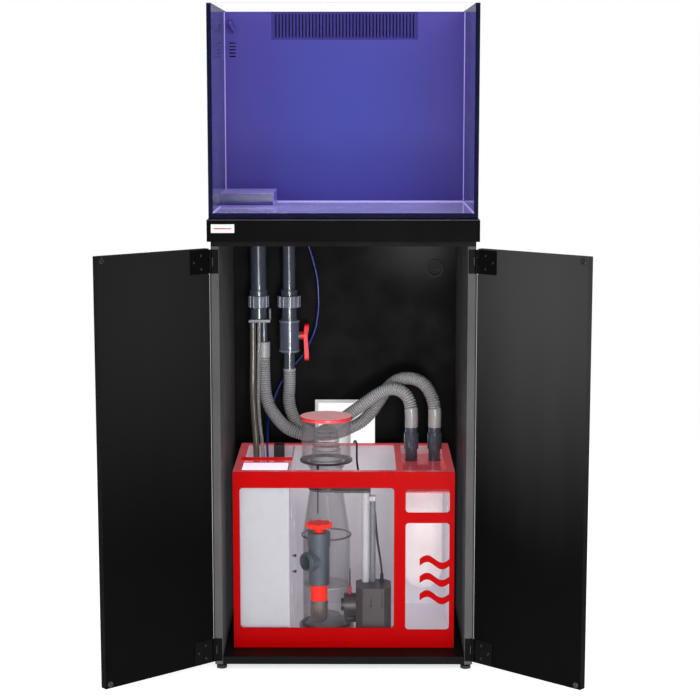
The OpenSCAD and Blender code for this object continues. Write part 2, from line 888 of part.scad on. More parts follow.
module return_pump() {
    color("#18181a") placed() {
        block([-246, 320, sump_floor], [-176, 390, sump_floor + 62]);
        translate([-218, 360, sump_floor + 62 - eps]) cylinder(r = return_dia / 2, h = 20 + eps);
    }
}

// ---- Skimmer ----

module skimmer_base() {
    color("gray") placed() difference() {
        translate([skim_x, skim_y, sump_floor]) cylinder(r = body_r + 9, h = 10);
        translate([skim_x, skim_y, sump_floor + 6]) cylinder(r = body_r + run_gap, h = 10);
    }
}

skim_z = sump_floor + 6;

// Base tube, cone and neck, with bosses for the wedge elbow and the pump outlet
module skimmer_body() {
    color("azure", 0.4) placed() difference() {
        union() {
            translate([skim_x, skim_y, skim_z]) cylinder(r = body_r, h = cone_z - skim_z);
            translate([skim_x, skim_y, cone_z]) cylinder(r1 = body_r, r2 = neck_r, h = neck_z - cone_z);
            translate([skim_x, skim_y, neck_z]) cylinder(r = neck_r, h = cup_z + 3 - neck_z);
            translate([wedge_x, skim_y - 58, elbow_z]) rotate([-90, 0, 0]) cylinder(r = 23, h = 40);
            translate([outlet_x, outlet_y, outlet_z]) rotate([0, -90, 0]) cylinder(r = 11, h = 30);
        }
        translate([skim_x, skim_y, skim_z + 3]) cylinder(r = body_r - skim_wall, h = cone_z - skim_z - 3 + eps);
        translate([skim_x, skim_y, cone_z])
            cylinder(r1 = body_r - skim_wall, r2 = neck_r - skim_wall, h = neck_z - cone_z + eps);
        translate([skim_x, skim_y, neck_z]) cylinder(r = neck_r - skim_wall, h = cup_z + 4 - neck_z);
        translate([wedge_x, skim_y - 59, elbow_z]) rotate([-90, 0, 0]) cylinder(r = 17, h = 40);
        translate([outlet_x + 1, outlet_y, outlet_z]) rotate([0, -90, 0]) cylinder(r = 7, h = 30);
    }
}

socket_z = cup_z - 14;

// A cup with a floor, a socket that drops over the neck, and a cone up its middle
module skimmer_cup() {
    color("azure", 0.4) placed() translate([skim_x, skim_y, 0]) rotate_extrude() {
        polygon([[neck_r + fit_gap, socket_z], [neck_r + 4, socket_z], [neck_r + 4, cup_z],
            [cup_r + 3, cup_z], [cup_r + 3, cup_z + 5], [cup_r, cup_z + 5], [cup_r, lid_z],
            [cup_r - skim_wall, lid_z], [cup_r - skim_wall, cup_z + 5 + eps], [neck_r - 3, cup_z + 5 + eps],
            [26, cup_z + 78], [23.5, cup_z + 78], [neck_r - 8, cup_z + 3 + fit_gap],
            [neck_r + fit_gap, cup_z + 3 + fit_gap]]);
    }
}

module skimmer_lid() {
    color("red") placed() translate([skim_x, skim_y, 0]) rotate_extrude() {
        polygon([[0, lid_z + fit_gap], [cup_r + fit_gap, lid_z + fit_gap], [cup_r + fit_gap, lid_z - lid_skirt],
            [cup_r + 4, lid_z - lid_skirt], [cup_r + 4, lid_z + lid_t - 2], [cup_r + 2, lid_z + lid_t],
            [0, lid_z + lid_t]]);
    }
}

module bubble_plate() {
    color("white") placed() translate([skim_x, skim_y, 146]) difference() {
        cylinder(r = body_r - skim_wall - 0.2, h = 4);
        for (ring_r = [14 : 12 : 38]) {
            for (k = [0 : 60 / ring_r * 6 : 359]) {
                rotate([0, 0, k]) translate([ring_r, 0, -1]) cylinder(r = 2.5, h = 6, $fn = 16);
            }
        }
    }
}

port_angle = 218;
port_z = 231;
port_r = 21;

module wedge_body() {
    color("slategray") placed() translate([wedge_x, wedge_y, 0]) difference() {
        union() {
            translate([0, 0, wedge_z]) cylinder(r = wedge_r - 2, h = wedge_top - wedge_z);
            translate([0, 0, wedge_top - 34]) cylinder(r = wedge_r, h = 34);
            translate([0, 0, port_z]) rotate([0, 90, port_angle]) cylinder(r = port_r, h = 42);
            translate([0, 0, port_z]) rotate([0, 90, port_angle]) cylinder(r = port_r + 2, h = 36);
        }
        translate([0, 0, wedge_z - 1]) cylinder(r = wedge_r - 6, h = wedge_top - wedge_z - 9);
        translate([0, 0, wedge_top - 11]) cylinder(r = 5 + run_gap, h = 12);
        translate([0, 0, port_z]) rotate([0, 90, port_angle]) cylinder(r = port_r - 3, h = 43);
    }
}

// A star knob on a stem that turns the sleeve inside the valve
module wedge_knob() {
    star_r = 25;
    star_z = wedge_top + 12;
    color("orangered") placed() translate([wedge_x, wedge_y, 0]) {
        translate([0, 0, wedge_top - 20]) cylinder(r = 5, h = 28);
        translate([0, 0, wedge_top + fit_gap]) cylinder(r = 11, h = star_z - wedge_top);
        translate([0, 0, star_z]) cylinder(r = star_r, h = 10);
        for (k = [0 : 7]) {
            rotate([0, 0, 45 * k]) translate([star_r, 0, star_z]) cylinder(r = 6, h = 10, $fn = 32);
        }
    }
}

// The red collar under the valve and the elbow into the skimmer
module wedge_union() {
    bend = 27;
    elbow_r = 21;
    elbow_bore = 16;
    bend_z = elbow_z + bend;
    collar_z = bend_z + 15;
    color("#8a7f78") placed() {
        difference() {
            union() {
                translate([wedge_x, wedge_y, bend_z]) cylinder(r = elbow_r, h = collar_z - bend_z);
                translate([wedge_x, wedge_y, bend_z]) cylinder(r = 19.5, h = wedge_z - bend_z);
            }
            translate([wedge_x, wedge_y, elbow_z]) cylinder(r = elbow_bore, h = 100);
        }
        translate([wedge_x, wedge_y + bend, bend_z]) rotate([0, -90, 180]) rotate([0, 0, 90])
            rotate_extrude(angle = 90) translate([bend, 0]) difference() {
                circle(r = elbow_r);
                circle(r = elbow_bore);
            }
        translate([wedge_x, wedge_y + bend, elbow_z]) rotate([-90, 0, 0])
            pipe(0, 0, 0, elbow_r, skim_y - 58.2 - wedge_y - bend, elbow_r - elbow_bore);
    }
}

shaft_r = 2.5;

// Motor block with chamfered edges, volute with its intake, and the outlet to the skimmer
module pump_body() {
    cut = 16;
    color("dimgray") placed() difference() {
        union() {
            translate([pump_x, pump_y, pump_z]) linear_extrude(pump_h) polygon([[cut, 0], [pump_w - cut, 0],
                [pump_w, cut], [pump_w, pump_d - cut], [pump_w - cut, pump_d], [cut, pump_d],
                [0, pump_d - cut], [0, cut]]);
            for (x = [14, pump_w - 14]) {
                for (y = [14, pump_d - 14]) {
                    translate([pump_x + x, pump_y + y, sump_floor]) cylinder(r = 7, h = 5, $fn = 24);
                }
            }
            translate([pump_x + eps, volute_y, volute_z]) rotate([0, -90, 0]) cylinder(r = volute_r, h = volute_l);
            translate([pump_x - volute_l + 1, volute_y, volute_z]) rotate([0, -90, 0]) cylinder(r = 15, h = 8);
            translate([pump_x + cut, outlet_y, outlet_z]) rotate([0, -90, 0])
                cylinder(r = 10, h = pump_x + cut - outlet_x - fit_gap);
        }
        translate([pump_x - 4, volute_y, volute_z]) rotate([0, -90, 0]) cylinder(r = 24, h = 20);
        translate([pump_x - 5, volute_y, volute_z]) rotate([0, -90, 0]) cylinder(r = 11, h = 40);
        translate([pump_x + 30, volute_y, volute_z]) rotate([0, -90, 0]) cylinder(r = shaft_r + run_gap, h = 40);
        for (k = [0 : 1]) {
            block([pump_x + 34 + 26 * k, pump_y - 1, pump_top - 44], [pump_x + 37 + 26 * k, pump_y + 6, pump_top - 24]);
        }
    }
}

module impeller() {
    color("ivory") placed() translate([pump_x - 8, volute_y, volute_z]) rotate([0, -90, 0]) {
        translate([0, 0, -32]) cylinder(r = shaft_r, h = 34);
        cylinder(r = 22, h = 3);
        for (k = [0 : 5]) {
            rotate([0, 0, 60 * k]) translate([5, -1, 0]) cube([16, 2, 11]);
        }
        cylinder(r = 6, h = 11);
    }
}

// Air intake: the white and grey tubes, the elbow above them and the black bracket on the neck
module silencer() {
    air_x = 51;
    grey_x = 68;
    tube_y = 148;
    cap_r = 10.5;
    bracket_z = neck_z + 4;
    color("gainsboro") placed() {
        pipe(air_x, tube_y, pump_top, 9, 358 - pump_top, 2);
        pipe(grey_x, tube_y + 3, pump_top, 7, 366 - pump_top, 2);
        translate([air_x, tube_y, 358]) cylinder(r = cap_r, h = 22);
        difference() {
            union() {
                translate([skim_x, skim_y, bracket_z]) cylinder(r = neck_r + 8, h = 5);
                block([skim_x + 20, tube_y - 12, bracket_z], [air_x + 12, skim_y - 20, bracket_z + 5]);
                translate([air_x, tube_y, bracket_z - 8 - eps]) cylinder(r = cap_r, h = 9);
            }
            translate([skim_x, skim_y, bracket_z - 1]) cylinder(r = neck_r + run_gap, h = 7);
        }
    }
}

module pump_cable() {
    color("#101010") placed() cord(smooth(CABLE, 3), cable_dia / 2, 8);
}

// Turns lie two deep and three wide
module cable_coil() {
    color("#101010") placed() translate([coil_x, coil_y, floor_z + cable_dia]) rotate_extrude()
        translate([coil_r - 3, 0]) {
            circle(r = cable_dia);
            translate([0, -cable_dia]) square([6, 2 * cable_dia]);
            translate([6, 0]) circle(r = cable_dia);
        }
}

module plug() {
    color("#101010") placed() translate([135, 430, floor_z]) rotate([0, 0, 180]) {
        hull() {
            translate([-14, -12, 0]) plate(28, 24, 20, 5);
            translate([14, -7, 3]) plate(12, 14, 14, 4);
        }
        for (y = [-5, 5]) {
            translate([-28, y, 10]) rotate([0, 90, 0]) cylinder(r = 2, h = 16, $fn = 24);
        }
    }
}

glass_front();
glass_back();
glass_left();
glass_right();
glass_base();
silicone_seams();
weir_panel();
weir_comb();
corner_box();
return_nozzle();
standpipes();
bulkheads();
trim_frame();
levelling_mat();
cabinet_top();
cabinet_bottom();
side_left();
side_right();
back_panel();
door_left();
door_right();
hinge_leaves_left();
hinge_leaves_right();
hinge_plates();
hinge_pins();
feet();
cable_grommet();
downpipes();
union_bodies();
union_nuts();
valve_body();
valve_ball();
valve_handle();
drain_hose_left();
drain_hose_right();
hose_tails();
topup_tube();
return_hose();
clear_hose();
sump_shell();
sump_fascia();
sump_rim();
sock_plate();
filter_sock();
reservoir();
return_pump();
skimmer_base();
skimmer_body();
skimmer_cup();
skimmer_lid();
bubble_plate();
wedge_body();
wedge_knob();
wedge_union();
pump_body();
impeller();
silencer();
pump_cable();
cable_coil();
plug();
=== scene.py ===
"""Looks of a rimmed aquarium on a two-door cabinet with a sump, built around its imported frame."""

import json
import logging
import math
from dataclasses import dataclass
from enum import Enum
from typing import Callable, Iterable, Sequence

import bmesh
import bpy
from mathutils import Euler, Matrix, Vector


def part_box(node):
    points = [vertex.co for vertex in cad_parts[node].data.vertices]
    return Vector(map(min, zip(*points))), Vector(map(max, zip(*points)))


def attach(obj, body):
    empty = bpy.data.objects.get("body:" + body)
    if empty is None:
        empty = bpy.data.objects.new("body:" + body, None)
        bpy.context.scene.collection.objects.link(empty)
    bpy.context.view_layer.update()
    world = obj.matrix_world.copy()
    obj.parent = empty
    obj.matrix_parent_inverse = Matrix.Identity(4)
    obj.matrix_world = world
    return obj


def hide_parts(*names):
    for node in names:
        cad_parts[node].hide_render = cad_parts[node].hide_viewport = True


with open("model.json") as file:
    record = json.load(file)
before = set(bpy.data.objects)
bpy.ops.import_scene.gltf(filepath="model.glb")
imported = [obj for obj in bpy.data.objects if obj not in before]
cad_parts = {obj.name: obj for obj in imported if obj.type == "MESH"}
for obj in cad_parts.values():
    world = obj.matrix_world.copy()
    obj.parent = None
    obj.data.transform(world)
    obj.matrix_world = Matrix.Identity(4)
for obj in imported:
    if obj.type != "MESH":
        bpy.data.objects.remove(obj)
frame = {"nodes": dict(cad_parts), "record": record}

LOG = logging.getLogger("aquarium")
MM = 0.001
ROOT = "stand"
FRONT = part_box("side_left")[0].y
Point = Sequence[float]


def at(x: float, back: float, z: float) -> Vector:
    """A place in metres from x, the distance behind the carcass front and z, all in millimetres.

    Args:
        x: Millimetres to the right of the middle.
        back: Millimetres behind the front plane of the carcass.
        z: Millimetres above the floor.

    Returns:
        The place in the row frame, in metres.
    """
    return Vector((x * MM, FRONT + back * MM, z * MM))


# ---------------------------------------------------------------- finishes


class Grain(Enum):
    """The fine surface pattern of a finish."""

    LAMINATE = "laminate"
    MOULDED = "moulded"
    POLISHED = "polished"
    RUBBER = "rubber"
    FELT = "felt"
    BRUSHED = "brushed"
    FOAM = "foam"


GRAIN_SCALE = {
    Grain.LAMINATE: (520.0, 0.05),
    Grain.MOULDED: (900.0, 0.08),
    Grain.POLISHED: (14.0, 0.015),
    Grain.RUBBER: (700.0, 0.12),
    Grain.FELT: (420.0, 0.55),
    Grain.BRUSHED: (260.0, 0.06),
    Grain.FOAM: (340.0, 0.4),
}


BROAD_NOISE = {"Scale": 7.0, "Detail": 5.0}
STREAK_NOISE = {"Scale": 1.0, "Detail": 4.0}
WORN_NOISE = {"Scale": 16.0, "Detail": 6.0}
GRAIN_DETAIL = 3.0
BRUSH_STRETCH = (1.0, 1.0, 0.04)
STREAK_STRETCH = (9.0, 9.0, 1.2)
COLOUR_BAND = (0.3, 0.7)
NOISE_BAND = {"From Min": 0.25, "From Max": 0.75}
ROUGH_SPREAD = 0.18
ROUGH_LEAST = 0.02
RELIEF_DEPTH = 0.0006
COAT_ROUGH = 0.08
LIGHT_DEPTH = {"Subsurface Radius": (0.02, 0.02, 0.02), "Subsurface Scale": 0.2}


def fill(node: bpy.types.Node, values: dict[str, object]) -> bpy.types.Node:
    """Sets the inputs of a node by their titles and returns it."""
    for title, value in values.items():
        node.inputs[title].default_value = value
    return node


def added(tree: bpy.types.NodeTree, kind: str, values: dict[str, object] | None = None) -> bpy.types.Node:
    """Adds a shader node.

    Args:
        tree: The node tree.
        kind: The node's type, without its common beginning.
        values: Values of its inputs by title.

    Returns:
        The new node.
    """
    return fill(tree.nodes.new(f"ShaderNode{kind}"), values or {})


def ramp_between(tree: bpy.types.NodeTree, low: Point, high: Point, band: Point) -> bpy.types.Node:
    """Adds a colour ramp.

    Args:
        tree: The node tree.
        low: Linear colour at its start.
        high: Linear colour at its end.
        band: Positions of both colours.

    Returns:
        The new node.
    """
    ramp = added(tree, "ValToRGB")
    for stop, colour, position in zip(ramp.color_ramp.elements, (low, high), band):
        stop.position = position
        stop.color = (*colour, 1.0)
    return ramp


@dataclass(frozen=True)
class Finish:
    """A surface finish, made as a node material.

    Attributes:
        name: Name of the material.
        colour: Linear red, green and blue.
        rough: Mean roughness.
        grain: The fine pattern.
        metal: Metallic share.
        coat: Strength of a clear coat.
        sheen: Strength of a cloth sheen.
        body: Opacity seen square on.
        rim: Opacity seen edge on.
        light: Share of light that passes into the material.
        shade: How far the colour drifts from place to place.
        edge: How early the rim opacity sets in, from 0 to 1.
        glow: Strength of its own light, in its own colour: painted light on every part but the floor, whose
            glow keeps it evenly bright.
        gloss: Strength of the mirror-like reflection.
    """

    name: str
    colour: tuple[float, float, float]
    rough: float = 0.4
    grain: Grain = Grain.MOULDED
    metal: float = 0.0
    coat: float = 0.0
    sheen: float = 0.0
    body: float = 1.0
    rim: float = 1.0
    light: float = 0.0
    shade: float = 0.12
    edge: float = 0.35
    glow: float = 0.0
    gloss: float = 0.5

    def make(self) -> bpy.types.Material:
        """Builds the material once and returns it."""
        title = f"{self.name}_finish"
        known = bpy.data.materials.get(title)
        if known is not None:
            return known
        material = bpy.data.materials.new(title)
        material.use_nodes = True
        tree = material.node_tree
        shader = tree.nodes["Principled BSDF"]
        place = added(tree, "TexCoord").outputs["Object"]
        self._colour(tree, shader, place)
        self._surface(tree, shader, place)
        fill(shader, {"Metallic": self.metal, "Coat Weight": self.coat, "Coat Roughness": COAT_ROUGH,
                      "Sheen Weight": self.sheen, "Specular IOR Level": self.gloss})
        if self.light > 0.0:
            fill(shader, {"Subsurface Weight": self.light, **LIGHT_DEPTH})
        # Painted light: the part shines in its own colour though it is no lamp.
        if self.glow > 0.0:
            fill(shader, {"Emission Color": (*self.colour, 1.0), "Emission Strength": self.glow})
        if self.body < 1.0:
            self._clear(tree, shader)
        return material

    def _colour(self, tree: bpy.types.NodeTree, shader: bpy.types.Node,
                place: bpy.types.NodeSocket) -> None:
        """Lets the colour drift a little over the piece."""
        cloud = added(tree, "TexNoise", BROAD_NOISE)
        tree.links.new(place, cloud.inputs["Vector"])
        low = [max(0.0, c * (1.0 - self.shade)) for c in self.colour]
        high = [min(1.0, c * (1.0 + self.shade)) for c in self.colour]
        ramp = ramp_between(tree, low, high, COLOUR_BAND)
        tree.links.new(cloud.outputs["Fac"], ramp.inputs["Fac"])
        tree.links.new(ramp.outputs["Color"], shader.inputs["Base Color"])

    def _surface(self, tree: bpy.types.NodeTree, shader: bpy.types.Node,
                 place: bpy.types.NodeSocket) -> None:
        """Breaks the roughness up and lays the fine relief of the grain."""
        scale, depth = GRAIN_SCALE[self.grain]
        stretch = added(tree, "Mapping", {"Scale": BRUSH_STRETCH} if self.grain is Grain.BRUSHED else None)
        fine = added(tree, "TexNoise", {"Scale": scale, "Detail": GRAIN_DETAIL})
        worn = added(tree, "TexNoise", WORN_NOISE)
        spread = added(tree, "MapRange", {**NOISE_BAND,
                                          "To Min": max(ROUGH_LEAST, self.rough * (1.0 - ROUGH_SPREAD)),
                                          "To Max": min(1.0, self.rough * (1.0 + ROUGH_SPREAD))})
        bump = added(tree, "Bump", {"Strength": depth, "Distance": RELIEF_DEPTH})
        for source, target in ((place, stretch.inputs["Vector"]),
                               (stretch.outputs["Vector"], fine.inputs["Vector"]),
                               (place, worn.inputs["Vector"]),
                               (worn.outputs["Fac"], spread.inputs["Value"]),
                               (spread.outputs["Result"], shader.inputs["Roughness"]),
                               (fine.outputs["Fac"], bump.inputs["Height"]),
                               (bump.outputs["Normal"], shader.inputs["Normal"])):
            tree.links.new(source, target)

    def _clear(self, tree: bpy.types.NodeTree, shader: bpy.types.Node) -> None:
        """Makes the piece see-through, denser where it is seen edge on."""
        facing = added(tree, "LayerWeight", {"Blend": self.edge})
        span = added(tree, "MapRange", {"To Min": self.body, "To Max": self.rim})
        tree.links.new(facing.outputs["Facing"], span.inputs["Value"])
        tree.links.new(span.outputs["Result"], shader.inputs["Alpha"])


@dataclass(frozen=True)
class LitPanel(Finish):
    """A finish with a painted pool of light: paler about one place and darker away from it.

    Attributes:
        far: Linear colour of the painted shade away from the pale place.
        middle: The middle of the painted pool of light, in metres.
        reach: Distances along x, y and z over which it fades, in metres.
    """

    far: tuple[float, float, float] = (0.0, 0.0, 0.0)
    middle: tuple[float, float, float] = (0.0, 0.0, 0.0)
    reach: tuple[float, float, float] = (1.0, 1.0, 1.0)

    def _colour(self, tree: bpy.types.NodeTree, shader: bpy.types.Node,
                place: bpy.types.NodeSocket) -> None:
        """Fades the painted light from the pale place outwards into painted shade, broken up by soft
        streaks.
        """
        shift = added(tree, "Mapping", {"Location": [-m / r for m, r in zip(self.middle, self.reach)],
                                        "Scale": [1.0 / r for r in self.reach]})
        span = added(tree, "VectorMath")
        span.operation = "LENGTH"
        streak = added(tree, "Mapping", {"Scale": STREAK_STRETCH})
        cloud = added(tree, "TexNoise", STREAK_NOISE)
        drift = added(tree, "Math")
        drift.operation = "MULTIPLY_ADD"
        drift.inputs[1].default_value = self.shade
        ramp = ramp_between(tree, self.colour, self.far, (self.shade / 2, 1.0))
        ramp.color_ramp.interpolation = "EASE"
        for source, target in ((place, shift.inputs["Vector"]),
                               (shift.outputs["Vector"], span.inputs[0]),
                               (place, streak.inputs["Vector"]),
                               (streak.outputs["Vector"], cloud.inputs["Vector"]),
                               (cloud.outputs["Fac"], drift.inputs[0]),
                               (span.outputs["Value"], drift.inputs[2]),
                               (drift.outputs["Value"], ramp.inputs["Fac"]),
                               (ramp.outputs["Color"], shader.inputs["Base Color"])):
            tree.links.new(source, target)


TANK_MIDDLE = tuple((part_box("weir_panel")[0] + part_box("weir_panel")[1]) / 2)
BOARD = Finish("black_laminate", (0.0038, 0.0035, 0.0037), 0.45, Grain.LAMINATE, shade=0.1, gloss=0.07)
# Painted light: a paler copy of the black board for the sides' inner faces and front edges, where light
# falls on them.
SIDE_PAINTED_LIGHT = Finish("side_inner_painted_light", (0.075, 0.075, 0.076), 0.5, Grain.LAMINATE, shade=0.1,
                    gloss=0.08)
# Painted light: the back board is paler towards its upper right and fades to near black, standing in for how
# the light falls inside the cabinet.
BACK_BOARD = LitPanel("back_laminate", (0.06, 0.06, 0.06), 0.5, Grain.LAMINATE, shade=0.3, gloss=0.06,
                      far=(0.0035, 0.0035, 0.0037), middle=(0.19, 0.32, 0.97), reach=(0.2, 1.0, 0.2))
# Painted light: each door is paler near its top and fades to near black below, and the right door is a paler
# copy of the left, standing in for the light falling on them.
LEFT_DOOR = LitPanel("left_door_laminate", (0.013, 0.013, 0.013), 0.5, Grain.LAMINATE, shade=0.2,
                     gloss=0.03, far=(0.0016, 0.0016, 0.0016), middle=(-0.42, -0.2, 0.92),
                     reach=(0.5, 1.0, 0.72))
RIGHT_DOOR = LitPanel("right_door_laminate", (0.042, 0.042, 0.042), 0.5, Grain.LAMINATE, shade=0.2,
                      gloss=0.03, far=(0.0016, 0.0016, 0.0016), middle=(0.45, -0.2, 0.94),
                      reach=(0.5, 1.0, 0.76))
TRIM = Finish("trim_black", (0.0018, 0.0018, 0.002), 0.4, gloss=0.03)
TRIM_LINE = Finish("trim_grey_line", (0.05, 0.05, 0.075), 0.4, Grain.RUBBER)
SILICONE = Finish("black_silicone", (0.004, 0.005, 0.028), 0.4, Grain.RUBBER, gloss=0.04)
# Painted highlight: the beads glow so that they look bright with glints.
BEAD = Finish("clear_silicone", (0.50, 0.42, 0.85), 0.3, Grain.RUBBER, light=0.2, glow=0.22)
PANE = Finish("clear_pane", (0.10, 0.12, 0.42), 0.03, Grain.POLISHED, body=0.003, rim=0.25, shade=0.04,
              gloss=0.03)
SIDE_PANE = Finish("violet_pane", (0.050, 0.048, 0.245), 0.12, Grain.POLISHED, body=0.3, rim=0.97,
                   shade=0.15, gloss=0.2)
BACK_PANE = Finish("blue_backed_pane", (0.012, 0.012, 0.05), 0.25, Grain.POLISHED, gloss=0.1)
BASE_PANE = Finish("lavender_base_pane", (0.52, 0.47, 0.90), 0.15, Grain.POLISHED, coat=0.3)
# Painted light: the weir panel is paler about its middle and darker and warmer towards its edges, standing
# in for the tank's lighting.
WEIR = LitPanel("violet_acrylic", (0.052, 0.058, 0.35), 0.4, Grain.POLISHED, shade=0.3, gloss=0.2,
                far=(0.078, 0.058, 0.31), middle=TANK_MIDDLE, reach=(0.46, 1.0, 0.60))
COMB = Finish("dark_violet_acrylic", (0.042, 0.034, 0.205), 0.3, Grain.POLISHED, gloss=0.15)
NOZZLE = Finish("violet_nozzle", (0.05, 0.044, 0.26), 0.3, Grain.POLISHED, gloss=0.2)
BOX = Finish("clear_box_acrylic", (0.05, 0.05, 0.24), 0.08, Grain.POLISHED, body=0.72, rim=0.9)
BOX_EDGE = Finish("pale_box_edge", (0.36, 0.30, 0.72), 0.2, Grain.POLISHED)
PIPE_DARK = Finish("dark_pipe", (0.03, 0.03, 0.035), 0.35)
MAT = Finish("levelling_foam", (0.62, 0.62, 0.68), 0.8, Grain.FOAM)
HINGE = Finish("hinge_black", (0.0022, 0.0022, 0.0022), 0.4, gloss=0.05)
SCREW = Finish("black_screw", (0.02, 0.02, 0.02), 0.25, Grain.BRUSHED, metal=0.8)
STEEL = Finish("brushed_pin", (0.5, 0.5, 0.52), 0.3, Grain.BRUSHED, metal=1.0)
RUBBER = Finish("foot_rubber", (0.01, 0.01, 0.01), 0.7, Grain.RUBBER)
BADGE = Finish("blank_badge", (0.75, 0.72, 0.72), 0.3, Grain.POLISHED, coat=0.3)
# Painted shade and light: a grey band that stands in for the shade along the window's left and top edges,
# glowing in its own colour.
WINDOW_SHADE_BAND = Finish("window_lining", (0.75, 0.75, 0.74), 0.6, glow=0.3)
PVC = Finish("clear_grey_pvc", (0.072, 0.088, 0.12), 0.14, Grain.POLISHED, coat=0.8, body=0.84, rim=0.97)
NUT = Finish("grey_nut", (0.19, 0.215, 0.28), 0.22, coat=0.6)
VALVE = Finish("clear_valve", (0.10, 0.125, 0.18), 0.12, Grain.POLISHED, coat=0.7, body=0.8, rim=0.97)
BALL = Finish("white_ball", (0.7, 0.7, 0.74), 0.2, Grain.POLISHED)
# Painted light: the red lever glows in its own colour.
LEVER = Finish("red_lever", (0.85, 0.008, 0.014), 0.3, coat=0.2, glow=0.12)
DRAIN = Finish("grey_corrugated_hose", (0.40, 0.40, 0.41), 0.3, coat=0.3, light=0.05)
# Painted shade: a darker copy of the hose grey for the grooves between the ribs.
GROOVE_SHADE = Finish("hose_groove_painted_shade", (0.24, 0.24, 0.25), 0.45)
TOPUP = Finish("blue_tube", (0.008, 0.026, 0.21), 0.25, Grain.POLISHED, coat=0.3)
RETURN = Finish("smoky_hose", (0.13, 0.115, 0.095), 0.2, Grain.POLISHED, coat=0.5, body=0.9, rim=0.97)
CLEAR = Finish("clear_hose", (0.42, 0.42, 0.4), 0.08, Grain.POLISHED, coat=0.7, body=0.4, rim=0.85)
SUMP_FRONT = Finish("sump_front_acrylic", (0.35, 0.35, 0.4), 0.04, Grain.POLISHED, body=0.008, rim=0.3,
                    gloss=0.05)
# Painted light: the sump walls glow, standing in for the light inside the chambers.
SUMP_WALL = Finish("sump_wall_acrylic", (0.66, 0.63, 0.68), 0.25, Grain.POLISHED, light=0.05, shade=0.04,
                   gloss=0.3, glow=0.17)
RED = Finish("red_gloss_acrylic", (0.40, 0.0, 0.001), 0.3, Grain.POLISHED, shade=0.03, gloss=0.03)
# Painted light: the red bar, the red rim and the red plates glow in their own colour; the rim's glow stands
# in for light falling on its top.
RED_BAR = Finish("red_bar_acrylic", (0.75, 0.004, 0.006), 0.3, Grain.POLISHED, shade=0.03, gloss=0.05,
                 glow=0.4)
RED_CLEAR = Finish("red_clear_acrylic", (0.85, 0.13, 0.15), 0.15, Grain.POLISHED, coat=0.5, body=0.85,
                   rim=0.95, glow=0.3)
RED_PLATE = Finish("red_clear_plate", (0.70, 0.10, 0.12), 0.12, Grain.POLISHED, coat=0.4, body=0.72,
                   rim=0.95, glow=0.2)
# Painted light: the felt glows, standing in for the light inside the filter chamber.
FELT = Finish("white_felt", (0.84, 0.78, 0.78), 0.95, Grain.FELT, sheen=0.4, shade=0.06, glow=0.3)
WHITE = Finish("white_acrylic", (0.44, 0.435, 0.47), 0.3, Grain.POLISHED, shade=0.03, gloss=0.25)
# Painted light: a paler, glowing copy of the white acrylic for the reservoir's faces behind its front.
WHITE_LIT = Finish("white_acrylic_painted_light", (0.72, 0.70, 0.77), 0.35, Grain.POLISHED, shade=0.03, gloss=0.2,
                   glow=0.5)
SKIM = Finish("clear_acrylic", (0.36, 0.35, 0.375), 0.06, Grain.POLISHED, body=0.06, rim=0.6, edge=0.22)
SKIM_EDGE = Finish("dark_acrylic_edge", (0.09, 0.075, 0.09), 0.15, Grain.POLISHED, body=0.45, rim=0.9)
CUP_FLANGE = Finish("plum_flange", (0.055, 0.028, 0.042), 0.12, Grain.POLISHED, coat=0.5, body=0.85,
                    rim=0.97)
# Painted light: the red lid glows in its own colour.
LID = Finish("red_lid", (0.85, 0.045, 0.06), 0.22, Grain.POLISHED, coat=0.8, shade=0.06, glow=0.08)
# Painted light: a paler, more strongly glowing copy of the lid for its top face, standing in for light
# falling on the top.
LID_TOP = Finish("lid_top_painted_light", (0.92, 0.46, 0.48), 0.35, Grain.POLISHED, coat=0.4, shade=0.1,
                 glow=0.45)
WEDGE = Finish("slate_grey_pvc", (0.052, 0.064, 0.078), 0.36)
# Painted light: the knob, and the collar that shares its finish, glow in their own colour.
KNOB = Finish("orange_red_knob", (0.85, 0.020, 0.008), 0.42, gloss=0.1, glow=0.15)
ELBOW = Finish("brown_grey_elbow", (0.11, 0.08, 0.075), 0.28, coat=0.3)
PUMP = Finish("pump_grey", (0.045, 0.034, 0.037), 0.4, gloss=0.35)
PUMP_BLACK = Finish("pump_black", (0.012, 0.012, 0.014), 0.4)
VOLUTE = Finish("volute_dark", (0.035, 0.026, 0.028), 0.35)
BASE_GREY = Finish("grey_base_disc", (0.21, 0.205, 0.215), 0.2, Grain.POLISHED, coat=0.4)
BLACK = Finish("black_fitting", (0.006, 0.006, 0.006), 0.35)
BARB = Finish("red_barb", (0.42, 0.012, 0.05), 0.25)
CABLE = Finish("black_cable", (0.006, 0.006, 0.007), 0.5, Grain.RUBBER)
GREY_PIPE = Finish("grey_air_pipe", (0.15, 0.155, 0.18), 0.3)
CLEAR_ELBOW = Finish("clear_air_elbow", (0.6, 0.6, 0.62), 0.1, Grain.POLISHED, coat=0.5, body=0.6, rim=0.9)
FLOOR = Finish("pale_floor", (0.93, 0.93, 0.93), 0.9, Grain.LAMINATE, shade=0.004, glow=0.7)

